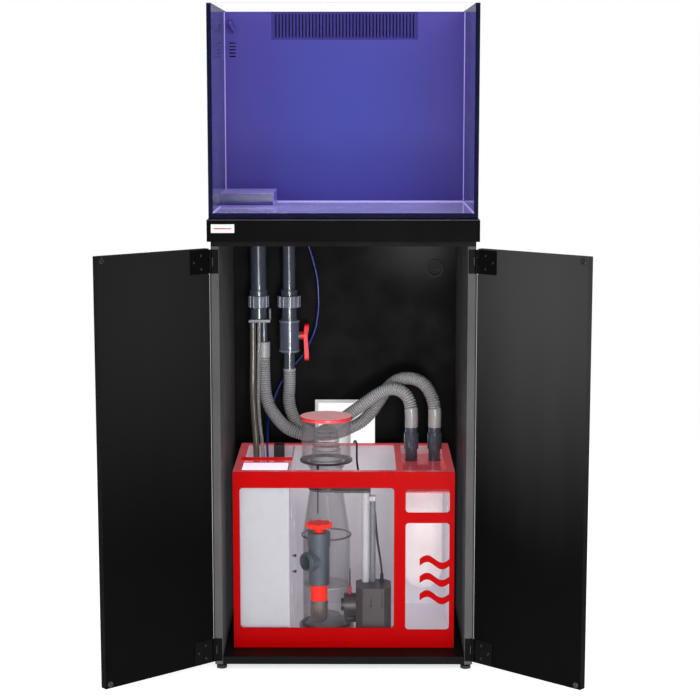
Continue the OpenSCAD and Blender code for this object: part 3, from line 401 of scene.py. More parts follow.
NODE_FINISH = {
    "glass_front": PANE, "glass_left": SIDE_PANE, "glass_right": SIDE_PANE, "glass_back": BACK_PANE,
    "glass_base": BASE_PANE, "silicone_seams": SILICONE, "weir_panel": WEIR, "weir_comb": COMB,
    "corner_box": BOX, "return_nozzle": NOZZLE, "standpipes": PIPE_DARK, "bulkheads": PIPE_DARK,
    "trim_frame": TRIM, "levelling_mat": MAT, "cabinet_top": BOARD, "cabinet_bottom": BOARD,
    "side_left": BOARD, "side_right": BOARD, "back_panel": BACK_BOARD, "door_left": LEFT_DOOR,
    "door_right": RIGHT_DOOR, "hinge_leaves_left": HINGE, "hinge_leaves_right": HINGE,
    "hinge_plates": HINGE, "hinge_pins": STEEL, "feet": RUBBER, "cable_grommet": RUBBER,
    "downpipes": PVC, "union_bodies": PVC, "union_nuts": NUT, "valve_body": VALVE,
    "valve_ball": BALL, "valve_handle": LEVER, "drain_hose_left": DRAIN, "drain_hose_right": DRAIN,
    "hose_tails": PVC, "topup_tube": TOPUP, "return_hose": RETURN, "clear_hose": CLEAR,
    "sump_shell": SUMP_WALL, "sump_fascia": RED, "sump_rim": RED_CLEAR, "sock_plate": RED_PLATE,
    "filter_sock": FELT, "reservoir": WHITE, "return_pump": PUMP_BLACK, "skimmer_base": BASE_GREY,
    "skimmer_body": SKIM, "skimmer_cup": SKIM, "skimmer_lid": LID, "bubble_plate": WHITE,
    "wedge_body": WEDGE, "wedge_knob": KNOB, "wedge_union": ELBOW, "pump_body": PUMP,
    "impeller": WHITE, "silencer": WHITE, "pump_cable": CABLE, "cable_coil": CABLE, "plug": CABLE,
}
NODE_BODY = {node: body for body, nodes in frame["record"]["behaviour"]["bodies"].items() for node in nodes}
NODE_SLOT = {row["node"]: row["material_slot"] for row in frame["record"]["subparts"]}


# ---------------------------------------------------------------- shaping

SHARP = 35.0
MERGE = 0.00001
NODE_MERGE = 0.00002
FLAT = 0.5
FACING = 0.9


def deselect() -> None:
    """Leaves edit mode and deselects every object."""
    if bpy.context.object is not None and bpy.context.object.mode != "OBJECT":
        bpy.ops.object.mode_set(mode="OBJECT")
    bpy.ops.object.select_all(action="DESELECT")


def activate(piece: bpy.types.Object) -> bpy.types.Object:
    """Makes one object the only selected and active one, and returns it."""
    deselect()
    piece.select_set(True)
    bpy.context.view_layer.objects.active = piece
    return piece


def settle(piece: bpy.types.Object) -> bpy.types.Object:
    """Applies the object's place to its mesh and returns it."""
    activate(piece)
    bpy.ops.object.transform_apply(location=True, rotation=True, scale=True)
    return piece


def smooth(piece: bpy.types.Object, angle: float = SHARP) -> bpy.types.Object:
    """Shades smooth below an angle in degrees, keeps wide faces flat and returns the piece."""
    activate(piece)
    bpy.ops.object.shade_smooth_by_angle(angle=math.radians(angle))
    normals = piece.modifiers.new("normals", "WEIGHTED_NORMAL")
    normals.keep_sharp = True
    bpy.ops.object.modifier_apply(modifier=normals.name)
    return piece


def round_edges(piece: bpy.types.Object, width: float, steps: int = 2) -> bpy.types.Object:
    """Rounds the sharp edges with an applied bevel.

    Args:
        piece: The mesh object to round.
        width: Bevel width in millimetres.
        steps: Segments of the rounding.

    Returns:
        The rounded piece, shaded smooth.
    """
    activate(piece)
    bevel = piece.modifiers.new("round", "BEVEL")
    bevel.width = width * MM
    bevel.segments = steps
    bevel.limit_method = "ANGLE"
    bevel.angle_limit = math.radians(SHARP)
    bpy.ops.object.modifier_apply(modifier=bevel.name)
    return smooth(piece)


def block_between(name: str, low: Vector, high: Vector) -> bpy.types.Object:
    """A plain block between two corners in metres, the start of a piece."""
    deselect()
    bpy.ops.mesh.primitive_cube_add(size=1.0, location=(low + high) / 2)
    piece = bpy.context.object
    piece.name = name
    piece.scale = high - low
    return settle(piece)


def hull_box(name: str, low: Vector, high: Vector, width: float = 1.0, steps: int = 2) -> bpy.types.Object:
    """A box between two corners with rounded edges.

    Args:
        name: Name of the piece.
        low: Lowest corner, in metres.
        high: Highest corner, in metres.
        width: Rounding in millimetres.
        steps: Segments of the rounding.

    Returns:
        The new piece.
    """
    piece = block_between(name, low, high)
    bpy.ops.object.mode_set(mode="EDIT")
    bpy.ops.mesh.select_all(action="SELECT")
    bpy.ops.mesh.bevel(offset=width * MM, segments=steps, profile=0.5)
    bpy.ops.object.mode_set(mode="OBJECT")
    return smooth(piece)


def drum(name: str, centre: Vector, radius: float, length: float, axis: Point = (0, 0, 1),
         width: float = 0.8, sides: int = 48) -> bpy.types.Object:
    """A closed cylinder with rounded rims.

    Args:
        name: Name of the piece.
        centre: Its middle, in metres.
        radius: Radius in millimetres.
        length: Length in millimetres.
        axis: Direction of its axis.
        width: Rounding of the rims in millimetres.
        sides: Facets round it.

    Returns:
        The new piece.
    """
    deselect()
    turn = Vector(axis).to_track_quat("Z", "Y").to_euler()
    bpy.ops.mesh.primitive_cylinder_add(vertices=sides, radius=radius * MM, depth=length * MM,
                                        location=centre, rotation=turn)
    piece = bpy.context.object
    piece.name = name
    settle(piece)
    return round_edges(piece, width)


def turned(name: str, profile: Sequence[tuple[float, float]], centre: Vector, axis: Point = (0, 0, 1),
           steps: int = 64) -> bpy.types.Object:
    """A shape turned on a lathe from a closed or axis-to-axis profile.

    Args:
        name: Name of the piece.
        profile: Radius and height of each point, in millimetres.
        centre: Where height 0 lies on the axis, in metres.
        axis: Direction of the axis.
        steps: Facets round it.

    Returns:
        The new piece, closed and facing outwards.
    """
    deselect()
    bpy.ops.mesh.primitive_plane_add(size=1.0)
    piece = bpy.context.object
    piece.name = name
    bpy.ops.object.mode_set(mode="EDIT")
    bpy.ops.mesh.select_all(action="SELECT")
    bpy.ops.mesh.delete(type="VERT")
    shape = bmesh.from_edit_mesh(piece.data)
    points = [shape.verts.new((r * MM, 0.0, h * MM)) for r, h in profile]
    for first, second in zip(points, points[1:]):
        shape.edges.new((first, second))
    if profile[0][0] > 0.0 or profile[-1][0] > 0.0:
        shape.edges.new((points[-1], points[0]))
    bmesh.update_edit_mesh(piece.data)
    bpy.ops.mesh.select_all(action="SELECT")
    bpy.ops.mesh.spin(steps=steps, angle=math.tau, center=(0, 0, 0), axis=(0, 0, 1))
    bpy.ops.mesh.select_all(action="SELECT")
    bpy.ops.mesh.remove_doubles(threshold=MERGE)
    bpy.ops.mesh.normals_make_consistent(inside=False)
    bpy.ops.object.mode_set(mode="OBJECT")
    piece.rotation_euler = Vector(axis).to_track_quat("Z", "Y").to_euler()
    piece.location = centre
    settle(piece)
    return smooth(piece)


def copy_of(node: str, name: str) -> bpy.types.Object:
    """A merged copy of a CAD node's mesh, with its flat faces dissolved.

    Args:
        node: Name of the CAD node.
        name: Name of the copy.

    Returns:
        The copy, at the origin.
    """
    source = frame["nodes"][node]
    piece = bpy.data.objects.new(name, source.data.copy())
    piece.data.name = name
    piece.data.materials.clear()
    bpy.context.collection.objects.link(piece)
    activate(piece)
    bpy.ops.object.mode_set(mode="EDIT")
    bpy.ops.mesh.select_all(action="SELECT")
    bpy.ops.mesh.customdata_custom_splitnormals_clear()
    bpy.ops.mesh.remove_doubles(threshold=NODE_MERGE)
    bpy.ops.mesh.dissolve_limited(angle_limit=math.radians(FLAT))
    bpy.ops.object.mode_set(mode="OBJECT")
    return piece


def dress(piece: bpy.types.Object, finish: Finish, body: str, slot: str, *nodes: str) -> bpy.types.Object:
    """Gives a piece its finish and its body, and hides the CAD nodes that it stands for.

    Args:
        piece: The finished piece.
        finish: Its finish.
        body: The body it rides on.
        slot: The record's material slot. Not used.
        nodes: CAD nodes that it replaces.

    Returns:
        The piece.
    """
    piece.data.materials.clear()
    piece.data.materials.append(finish.make())
    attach(piece, body)
    if nodes:
        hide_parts(*nodes)
    LOG.info("%s rides on %s", piece.name, body)
    return piece


def refined(node: str, width: float = 0.8, steps: int = 2) -> bpy.types.Object:
    """Replaces a CAD node with a copy whose sharp edges are rounded.

    Args:
        node: Name of the CAD node.
        width: Rounding in millimetres.
        steps: Segments of the rounding.

    Returns:
        The dressed copy.
    """
    piece = round_edges(copy_of(node, f"{node}_skin"), width, steps)
    return dress(piece, NODE_FINISH[node], NODE_BODY[node], NODE_SLOT[node], node)


def repaint(piece: bpy.types.Object, finish: Finish, belongs: Callable[[Vector], bool]) -> None:
    """Gives a second finish to the faces whose middle passes a test.

    Args:
        piece: The dressed piece.
        finish: The finish of those faces.
        belongs: Tells from a face's middle, in metres, whether it takes the finish.
    """
    piece.data.materials.append(finish.make())
    index = len(piece.data.materials) - 1
    for face in piece.data.polygons:
        if belongs(face.center):
            face.material_index = index


def pierced(name: str, low: Vector, high: Vector, band: float, axis: int, width: float) -> bpy.types.Object:
    """A block with a rectangular hole right through it, so that a frame is left.

    Args:
        name: Name of the piece.
        low: Lowest corner, in metres.
        high: Highest corner, in metres.
        band: Width of its bars in millimetres.
        axis: Direction of the hole: 0, 1 or 2 for x, y or z.
        width: Rounding in millimetres.

    Returns:
        The new piece.
    """
    piece = block_between(name, low, high)
    bpy.ops.object.mode_set(mode="EDIT")
    bpy.ops.mesh.select_mode(type="FACE")
    bpy.ops.mesh.select_all(action="DESELECT")
    shape = bmesh.from_edit_mesh(piece.data)
    for face in shape.faces:
        face.select = abs(face.normal[axis]) > FACING
    bmesh.update_edit_mesh(piece.data)
    bpy.ops.mesh.inset(thickness=band * MM, use_individual=True)
    bpy.ops.mesh.bridge_edge_loops()
    bpy.ops.mesh.select_all(action="SELECT")
    bpy.ops.mesh.normals_make_consistent(inside=False)
    bpy.ops.object.mode_set(mode="OBJECT")
    return round_edges(piece, width, 1)


# ---------------------------------------------------------------- camera and light


@dataclass
class Studio:
    """The camera, the lights and the floor.

    Attributes:
        distance: From the carcass front to the lens, in metres.
        height: Height of the lens, in metres.
        aside: Offset of the lens to the right, in metres.
        down: Downward pitch, in degrees.
        turn: Turn to the left, in degrees.
        lens: Focal length in millimetres, on a 36 mm wide sensor.
        surround: Strength of the surroundings as a light.
        backdrop: Strength of the surroundings as the lens sees them.
        sensor: Width of the camera's sensor in millimetres.
        sight: Farthest distance that the camera sees, in metres.
        floor_size: Side of the square floor, in metres.
        floor_down: How far the floor lies under the feet, in metres.
    """

    distance: float = 3.984
    height: float = 1.336
    aside: float = 0.0326
    down: float = 8.38
    turn: float = 0.256
    lens: float = 91.9
    surround: float = 0.3
    backdrop: float = 1.25
    sensor: float = 36.0
    sight: float = 50.0
    floor_size: float = 5.0
    floor_down: float = 0.0005

    LAMPS = (("key", (1.5, -3.0, 2.3), (0.0, 0.0, 0.6), 1.4, 34.0),
             ("fill", (-1.8, -3.0, 1.6), (0.0, 0.0, 0.5), 1.6, 26.0),
             ("top", (0.0, 0.1, 3.3), (0.0, 0.0, 1.0), 1.4, 42.0),
             ("low_front", (0.0, -3.4, 0.5), (0.0, 0.1, 0.3), 1.0, 17.0),
             ("sump_front", (0.35, -1.9, 0.42), (0.16, 0.1, 0.24), 0.35, 11.0))
    ROOM_TINT = (0.96, 0.97, 1.0, 1.0)

    def camera(self) -> None:
        """Makes the camera and sets it as the scene's own."""
        data = bpy.data.cameras.new("camera")
        data.lens = self.lens
        data.sensor_width = self.sensor
        data.dof.use_dof = False
        data.clip_end = self.sight
        lens = bpy.data.objects.new("camera", data)
        bpy.context.collection.objects.link(lens)
        lens.location = (self.aside, FRONT - self.distance, self.height)
        lens.rotation_euler = Euler((math.radians(90.0 - self.down), 0.0, math.radians(self.turn)))
        bpy.context.scene.camera = lens

    def lamp(self, name: str, place: Point, aim: Point, size: float, power: float) -> None:
        """A soft square area light.

        Args:
            name: Name of the light.
            place: Where it hangs, in metres.
            aim: What it points at, in metres.
            size: Side of the square, in metres.
            power: Power in watts.
        """
        data = bpy.data.lights.new(name, "AREA")
        data.size = size
        data.energy = power
        lamp = bpy.data.objects.new(name, data)
        bpy.context.collection.objects.link(lamp)
        lamp.location = place
        lamp.rotation_euler = (Vector(aim) - Vector(place)).to_track_quat("-Z", "Y").to_euler()
        lamp.visible_camera = False

    def floor(self) -> None:
        """A wide pale floor just under the feet."""
        deselect()
        bpy.ops.mesh.primitive_plane_add(size=self.floor_size, location=(0.0, 0.0, -self.floor_down))
        floor = settle(bpy.context.object)
        floor.name = "floor"
        floor.data.materials.append(FLOOR.make())

    def room(self) -> None:
        """White surroundings for the lens, dimmer ones for the light that falls on the object."""
        world = bpy.data.worlds.new("pale_room")
        world.use_nodes = True
        nodes = world.node_tree.nodes
        links = world.node_tree.links
        dim = nodes["Background"]
        dim.inputs["Color"].default_value = self.ROOM_TINT
        dim.inputs["Strength"].default_value = self.surround
        bright = nodes.new("ShaderNodeBackground")
        bright.inputs["Strength"].default_value = self.backdrop
        sight = nodes.new("ShaderNodeLightPath")
        choice = nodes.new("ShaderNodeMixShader")
        links.new(sight.outputs["Is Camera Ray"], choice.inputs["Fac"])
        links.new(dim.outputs["Background"], choice.inputs[1])
        links.new(bright.outputs["Background"], choice.inputs[2])
        links.new(choice.outputs["Shader"], nodes["World Output"].inputs["Surface"])
        bpy.context.scene.world = world

    def build(self) -> None:
        """Sets up the whole studio."""
        self.camera()
        self.floor()
        for lamp in self.LAMPS:
            self.lamp(*lamp)
        self.room()
        bpy.context.scene.view_settings.view_transform = "Standard"


# ---------------------------------------------------------------- cords and hoses

RIB_SAMPLES = 4
RIB_SHAPE = 1.6
SUNK = 1.2
SOFT = 60.0


def curve_point(a: Vector, b: Vector, c: Vector, d: Vector, t: float) -> Vector:
    """A point between b and c on the smooth curve through four points."""
    return 0.5 * (2 * b + (c - a) * t + (2 * a - 5 * b + 4 * c - d) * t * t
                  + (3 * b - a - 3 * c + d) * t * t * t)


def eased(route: Sequence[Vector], steps: int) -> list[Vector]:
    """The route with extra points between those chosen."""
    last = len(route) - 1
    points = [curve_point(route[max(i - 1, 0)], route[i], route[i + 1], route[min(i + 2, last)], k / steps)
              for i in range(last) for k in range(steps)]
    return [*points, route[last]]


def length_of(path: Sequence[Vector]) -> float:
    """Length of a path in metres."""
    return sum((b - a).length for a, b in zip(path, path[1:]))


def evenly(path: Sequence[Vector], pitch: float) -> list[Vector]:
    """Points along a path at an even pitch.

    Args:
        path: The path's points.
        pitch: Wanted distance between points, in metres.

    Returns:
        Evenly spaced points from its start to its end.
    """
    total = length_of(path)
    count = max(2, round(total / pitch))
    result = [path[0]]
    walked = 0.0
    for a, b in zip(path, path[1:]):
        span = (b - a).length
        while len(result) < count and walked + span >= total * len(result) / count:
            share = (total * len(result) / count - walked) / span
            result.append(a.lerp(b, share))
        walked += span
    return [*result, path[-1]]


def frames_along(path: Sequence[Vector]) -> list[tuple[Vector, Vector, Vector]]:
    """The heading and two cross directions at each point, carried along without twist."""
    last = len(path) - 1
    side = Vector((1.0, 0.3, 0.0))
    result = []
    for i in range(len(path)):
        heading = (path[min(i + 1, last)] - path[max(i - 1, 0)]).normalized()
        side = (side - heading * side.dot(heading)).normalized()
        result.append((heading, side, heading.cross(side)))
    return result


def ribbed_tube(name: str, path: Sequence[Vector], radius: float, groove: float, pitch: float,
                cuffs: tuple[float, float], sides: int = 24) -> bpy.types.Object:
    """A corrugated hose with a plain cuff at each end.

    Args:
        name: Name of the piece.
        path: Its centreline, in metres.
        radius: Outer radius in millimetres.
        groove: Depth of the grooves in millimetres.
        pitch: Distance between ribs in millimetres.
        cuffs: Length of the plain cuff at the start and at the end, in millimetres.
        sides: Facets round it.

    Returns:
        The closed mesh, whose face attribute "groove" is 1 in the grooves.
    """
    centre = evenly(path, pitch * MM / RIB_SAMPLES)
    total = length_of(centre)
    mesh = bmesh.new()
    deep = mesh.faces.layers.int.new("groove")
    rings = []
    waves = []
    walked = 0.0
    for i, (point, (_, side, up)) in enumerate(zip(centre, frames_along(centre))):
        if i:
            walked += (point - centre[i - 1]).length
        wave = 0.5 - 0.5 * math.cos(math.tau * walked / (pitch * MM))
        ribbed = walked > cuffs[0] * MM and total - walked > cuffs[1] * MM
        r = (radius - (groove * wave ** RIB_SHAPE if ribbed else 0.0)) * MM
        waves.append(wave if ribbed else 0.0)
        angles = [math.tau * k / sides for k in range(sides)]
        rings.append([mesh.verts.new(point + r * (math.cos(a) * side + math.sin(a) * up)) for a in angles])
    for i, (first, second) in enumerate(zip(rings, rings[1:])):
        sunk = int(waves[i] + waves[i + 1] > SUNK)
        for k in range(sides):
            j = (k + 1) % sides
            mesh.faces.new((first[k], first[j], second[j], second[k]))[deep] = sunk
    mesh.faces.new(list(reversed(rings[0])))
    mesh.faces.new(rings[-1])
    data = bpy.data.meshes.new(name)
    mesh.to_mesh(data)
    mesh.free()
    piece = bpy.data.objects.new(name, data)
    bpy.context.collection.objects.link(piece)
    return smooth(piece, SOFT)


def round_curve(name: str, path: Sequence[Vector], diameter: float) -> bpy.types.Object:
    """One open spline with a round section and closed ends.

    Args:
        name: Name of the piece.
        path: Its centreline, in metres.
        diameter: Diameter in millimetres.

    Returns:
        The curve object.
    """
    data = bpy.data.curves.new(name, "CURVE")
    data.dimensions = "3D"
    data.bevel_depth = diameter * MM / 2
    data.bevel_resolution = 3
    data.use_fill_caps = True
    line = data.splines.new("POLY")
    line.points.add(len(path) - 1)
    for spot, point in zip(line.points, path):
        spot.co = (*point, 1.0)
    line.use_smooth = True
    piece = bpy.data.objects.new(name, data)
    bpy.context.collection.objects.link(piece)
    return piece


@dataclass
class Hoses:
    """The drain hoses, the tubes and the pump cable, each along its own route.

    Attributes:
        drain_dia: Diameter of the drain hoses in millimetres.
        return_dia: Diameter of the return hose in millimetres.
        clear_dia: Diameter of the clear hose in millimetres.
        topup_dia: Diameter of the top-up tube in millimetres.
        cable_dia: Diameter of the pump cable in millimetres.
        groove: Depth of the grooves of the drain hoses in millimetres.
        pitch: Distance between their ribs in millimetres.
        prongs: Length of the metal prongs of the plug in millimetres.
        spacing: Distance between the turns of the stored cable, in cable diameters.
    """

    drain_dia: float = 32.0
    return_dia: float = 16.0
    clear_dia: float = 9.0
    topup_dia: float = 6.0
    cable_dia: float = 5.0
    groove: float = 2.2
    pitch: float = 5.6
    prongs: float = 16.0
    spacing: float = 1.1

    LEFT_DRAIN = [(-203, 445, 705), (-203, 445, 655), (-200, 433, 585), (-190, 421, 547),
                  (-172, 409, 521), (-151, 397, 500), (-127, 387, 488), (-86, 381, 480), (-41, 379, 496),
                  (6, 377, 529), (55, 367, 566), (79, 361, 584), (102, 355, 597), (126, 347, 601),
                  (147, 339, 591), (159, 334, 572), (164, 331, 545), (164, 331, 510)]
    RIGHT_DRAIN = [(-139, 440, 638), (-139, 440, 597), (-141, 437, 564), (-137, 431, 538),
                   (-126, 425, 512), (-106, 421, 488), (-72, 419, 473), (-25, 419, 475), (25, 419, 496),
                   (49, 419, 512), (67, 418, 532), (83, 415, 556), (98, 407, 582), (115, 397, 604),
                   (138, 383, 620), (168, 367, 624), (196, 351, 612), (214, 339, 584), (221, 331, 552),
                   (221, 331, 510)]
    TOPUP_ROUTE = [(-91, 456, 983), (-91, 456, 950), (-79, 457, 907), (-69, 458, 862), (-66, 459, 812),
                   (-67, 461, 779), (-75, 465, 733), (-89, 469, 699), (-105, 472, 669), (-126, 473, 644),
                   (-148, 472, 615), (-165, 468, 590), (-180, 460, 554), (-191, 450, 525),
                   (-194, 434, 500), (-194, 414, 482), (-193, 397, 467), (-193, 386, 448),
                   (-192, 383, 420), (-192, 382, 380)]
    RETURN_ROUTE = [(-229, 427, 756), (-229, 427, 690), (-230, 421, 580), (-227, 406, 525),
                    (-223, 390, 486), (-220, 378, 445), (-219, 369, 390), (-218, 362, 300),
                    (-218, 360, 200), (-218, 360, 122)]
    CLEAR_ROUTE = [(-213, 421, 756), (-214, 421, 690), (-216, 412, 582), (-213, 402, 516),
                   (-207, 387, 470), (-203, 377, 426), (-202, 372, 371), (-201, 370, 300)]
    CABLE_ROUTE = [(90, 150, 170), (90, 150, 192), (86, 155, 225), (80, 163, 262), (76, 172, 300),
                   (72, 188, 340), (56, 208, 380), (38, 226, 408), (31, 262, 432), (30, 310, 448),
                   (30, 355, 458), (28, 388, 461), (25, 407, 459), (23, 418, 453), (21, 424, 440),
                   (19, 427, 415), (16, 428, 340), (15, 428, 240), (15, 428, 140), (15, 427, 100),
                   (18, 425, 70), (27, 422, 50), (42, 419, 39), (60, 418, 35)]
    COIL_END = [(93, 418, 40), (109, 430, 42)]
    COIL_MIDDLE = (75.0, 449.0)
    COIL_FLOOR = 34.5
    COIL_RADIUS = 27.0
    LANES = [(1, 0), (0, 0), (-1, 0), (-1, 1), (0, 1), (1, 1)]
    TURN_STEPS = 28
    LANE_CHANGE = 0.3
    RELIEF = [(0, 0), (6, 0), (6, 2), (4.6, 3.5), (4.6, 6), (4.1, 6.6), (4.1, 8.6), (4.5, 9.2), (4.5, 12),
              (3.8, 12.6), (3.8, 14.6), (4.0, 15.2), (4.0, 17.6), (3.2, 20), (0, 20)]
    LEFT_CUFFS = (40.0, 46.0)
    RIGHT_CUFFS = (6.0, 46.0)

    @staticmethod
    def path(route: Iterable[Point], steps: int = 4) -> list[Vector]:
        """The smooth centreline of a route given in millimetres from the carcass front."""
        return eased([at(*point) for point in route], steps)

    def drain(self, side: str, route: Iterable[Point], cuffs: tuple[float, float]) -> None:
        """One corrugated drain hose between its two tails."""
        path = self.path(route)
        hose = ribbed_tube(f"drain_hose_{side}_ribbed", path, self.drain_dia / 2, self.groove,
                           self.pitch, cuffs)
        dress(hose, DRAIN, ROOT, "hose_grey", f"drain_hose_{side}")
        # The grooves take the darker painted-shade copy of the hose grey.
        hose.data.materials.append(GROOVE_SHADE.make())
        for face, mark in zip(hose.data.polygons, hose.data.attributes["groove"].data):
            face.material_index = mark.value

    def tube(self, node: str, route: Iterable[Point], diameter: float, finish: Finish, slot: str) -> None:
        """A smooth tube that goes back into the object at both ends."""
        path = self.path(route)
        tube = round_curve(f"{node}_line", path, diameter)
        dress(tube, finish, ROOT, slot, node)

    def coil_points(self) -> list[Vector]:
        """The turns of the stored cable, three wide and two deep, from its entry to its end."""
        x, y = self.COIL_MIDDLE
        points = []
        for k in range(len(self.LANES) * self.TURN_STEPS + 1):
            turn = min(k // self.TURN_STEPS, len(self.LANES) - 1)
            share = k / self.TURN_STEPS - turn
            here = Vector(self.LANES[turn])
            after = Vector(self.LANES[min(turn + 1, len(self.LANES) - 1)])
            lane, layer = here.lerp(after, max(0.0, 1.0 - (1.0 - share) / self.LANE_CHANGE))
            radius = self.COIL_RADIUS + lane * self.cable_dia * self.spacing
            angle = math.tau * share - math.pi / 2
            points.append(at(x + radius * math.cos(angle), y + radius * math.sin(angle),
                             self.COIL_FLOOR + layer * self.cable_dia))
        return points

    def cable(self) -> None:
        """The pump's cable over the back rail and down to its stored coil and plug."""
        coil = self.coil_points()
        route = [at(*point) for point in self.CABLE_ROUTE]
        entry = eased([*route, coil[0], coil[1]], 4)[:-4]
        end = eased([coil[-2], coil[-1], *[at(*point) for point in self.COIL_END]], 4)[4:]
        path = [*entry, *coil[1:-1], *end]
        line = round_curve("pump_cable_line", path, self.cable_dia)
        plug = refined("plug", 1.5)
        repaint(plug, STEEL, lambda spot: spot.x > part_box("plug")[1].x - self.prongs * MM)
        dress(line, CABLE, ROOT, "cable_black", "pump_cable", "cable_coil")

    def relief(self) -> None:
        """The tapered strain relief where the cable leaves the pump."""
        x, back, z = self.CABLE_ROUTE[0]
        sleeve = turned("cable_relief", self.RELIEF, at(x, back, z), steps=32)
        dress(sleeve, CABLE, ROOT, "cable_black")

    def tie(self) -> None:
        """The band that holds the turns together."""
        x, y = self.COIL_MIDDLE
        half_w, band = 3.0, 0.9
        slack = 1.2
        lane = self.cable_dia * (self.spacing + 0.5)
        low = at(x - half_w, y + self.COIL_RADIUS - lane - slack, self.COIL_FLOOR - self.cable_dia / 2 - 0.1)
        high = at(x + half_w, y + self.COIL_RADIUS + lane + slack,
                  self.COIL_FLOOR + self.cable_dia * 1.5 + slack)
        dress(pierced("cable_tie", low, high, band, 0, 0.25), BLACK, ROOT, "rubber_black")

    def build(self) -> None:
        """Makes every hose, tube and cable."""
        self.drain("left", self.LEFT_DRAIN, self.LEFT_CUFFS)
        self.drain("right", self.RIGHT_DRAIN, self.RIGHT_CUFFS)
        self.tube("topup_tube", self.TOPUP_ROUTE, self.topup_dia, TOPUP, "tube_blue")
        self.tube("return_hose", self.RETURN_ROUTE, self.return_dia, RETURN, "hose_brown")
        self.tube("clear_hose", self.CLEAR_ROUTE, self.clear_dia, CLEAR, "hose_clear")
        self.cable()
        self.relief()
        self.tie()


# ---------------------------------------------------------------- tank


@dataclass
class Tank:
    """The glass tank with its rear weir, on its trim frame.

    Attributes:
        arris: Rounding of the glass edges in millimetres.
        bead: Radius of the silicone beads along the floor in millimetres.
        thin_bead: Radius of the upright beads in millimetres.
        box_edge: Width of the pale edges of the corner box in millimetres.
        foot_low: Lowest corner of its foot from its lower front left corner, in millimetres.
        foot_high: Highest corner of its foot from its lower front right corner, in millimetres.
        line_in: Distance of the trim's pale line from the edge in millimetres.
        line_w: Width of that line in millimetres.
        badge_x: Left end of the badge in millimetres.
        badge_up: Height of its lower edge above the trim's in millimetres.
        badge: Width, thickness and height of the badge in millimetres.
        stripe_at: Place of its stripe on the badge in millimetres.
        stripe: Width, thickness and height of the stripe in millimetres.
    """

    arris: float = 0.7
    bead: float = 2.6
    thin_bead: float = 1.2
    box_edge: float = 4.5
    foot_low: Point = (0.5, -0.6, 0.4)
    foot_high: Point = (0.6, 3.6, 4.0)
    line_in: float = 0.8
    line_w: float = 1.6
    badge_x: float = -294.0
    badge_up: float = 20.0
    badge: Point = (52.0, 1.2, 19.0)
    stripe_at: Point = (6.0, -0.3, 8.2)
    stripe: Point = (40.0, 0.4, 2.2)

    def panes(self) -> None:
        """The upright panes and the base pane."""
        for node in ("glass_front", "glass_back", "glass_left", "glass_right"):
            refined(node, self.arris)
        refined("glass_base", self.arris, 1)

    def beads(self) -> None:
        """Clear silicone beads along the inner corners of the display."""
        low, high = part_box("weir_panel")
        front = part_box("glass_front")[1].y
        reach = Vector((0.0, low.y - front, 0.0)).length / MM
        height = (high.z - low.z) / MM - 2
        middle = (front + low.y) / 2
        width = (high.x - low.x) / MM - 2 * self.bead
        half = (low.z + high.z) / 2
        runs = [("bead_back_left", (low.x, low.y, half), self.thin_bead, height, (0, 0, 1)),
                ("bead_back_right", (high.x, low.y, half), self.thin_bead, height, (0, 0, 1)),
                ("bead_floor_left", (low.x, middle, low.z), self.bead, reach, (0, 1, 0)),
                ("bead_floor_right", (high.x, middle, low.z), self.bead, reach, (0, 1, 0)),
                ("bead_floor_back", (0.0, low.y, low.z), self.bead, width, (1, 0, 0))]
        for name, place, radius, length, axis in runs:
            bead = drum(name, Vector(place), radius, length, axis, 0.5, 16)
            dress(bead, BEAD, ROOT, "silicone")

    def interior(self) -> None:
        """The weir panel, its comb, the corner box and the pipes of the rear chamber."""
        refined("weir_panel", 0.6)
        refined("weir_comb", 0.4, 1)
        box = refined("corner_box", 0.6)
        low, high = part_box("corner_box")
        edge = self.box_edge * MM
        repaint(box, BOX_EDGE, lambda spot: spot.z > high.z - edge or spot.x > high.x - edge)
        for node in ("bulkheads", "standpipes", "return_nozzle"):
            refined(node, 0.6)
        right = Vector((high.x, low.y, low.z))
        rail = hull_box("corner_box_foot", low + Vector(self.foot_low) * MM,
                        right + Vector(self.foot_high) * MM, 0.5)
        dress(rail, BOX_EDGE, ROOT, "clear_acrylic")

    def trim(self) -> None:
        """The trim frame, the pale line along its rim and the blank badge."""
        refined("trim_frame", 1.2)
        low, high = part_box("trim_frame")
        inset = Vector((self.line_in, self.line_in, 0.0)) * MM
        lift = Vector((0.0, 0.0, MM))
        line = pierced("trim_line", Vector((low.x, low.y, high.z)) + inset - lift / 4,
                       high - inset + lift, self.line_w, 2, 0.2)
        dress(line, TRIM_LINE, ROOT, "silicone")
        corner = Vector((self.badge_x * MM, low.y - MM, low.z + self.badge_up * MM))
        badge = hull_box("blank_badge", corner, corner + Vector(self.badge) * MM, 0.4)
        dress(badge, BADGE, ROOT, "white_gloss")
        corner += Vector(self.stripe_at) * MM
        stripe = hull_box("badge_stripe", corner, corner + Vector(self.stripe) * MM, 0.15, 1)
        dress(stripe, RED, ROOT, "red_gloss")
        refined("levelling_mat", 0.5)

    def build(self) -> None:
        """Makes the whole tank."""
        self.panes()
        self.beads()
        self.interior()
        self.trim()


# ---------------------------------------------------------------- cabinet


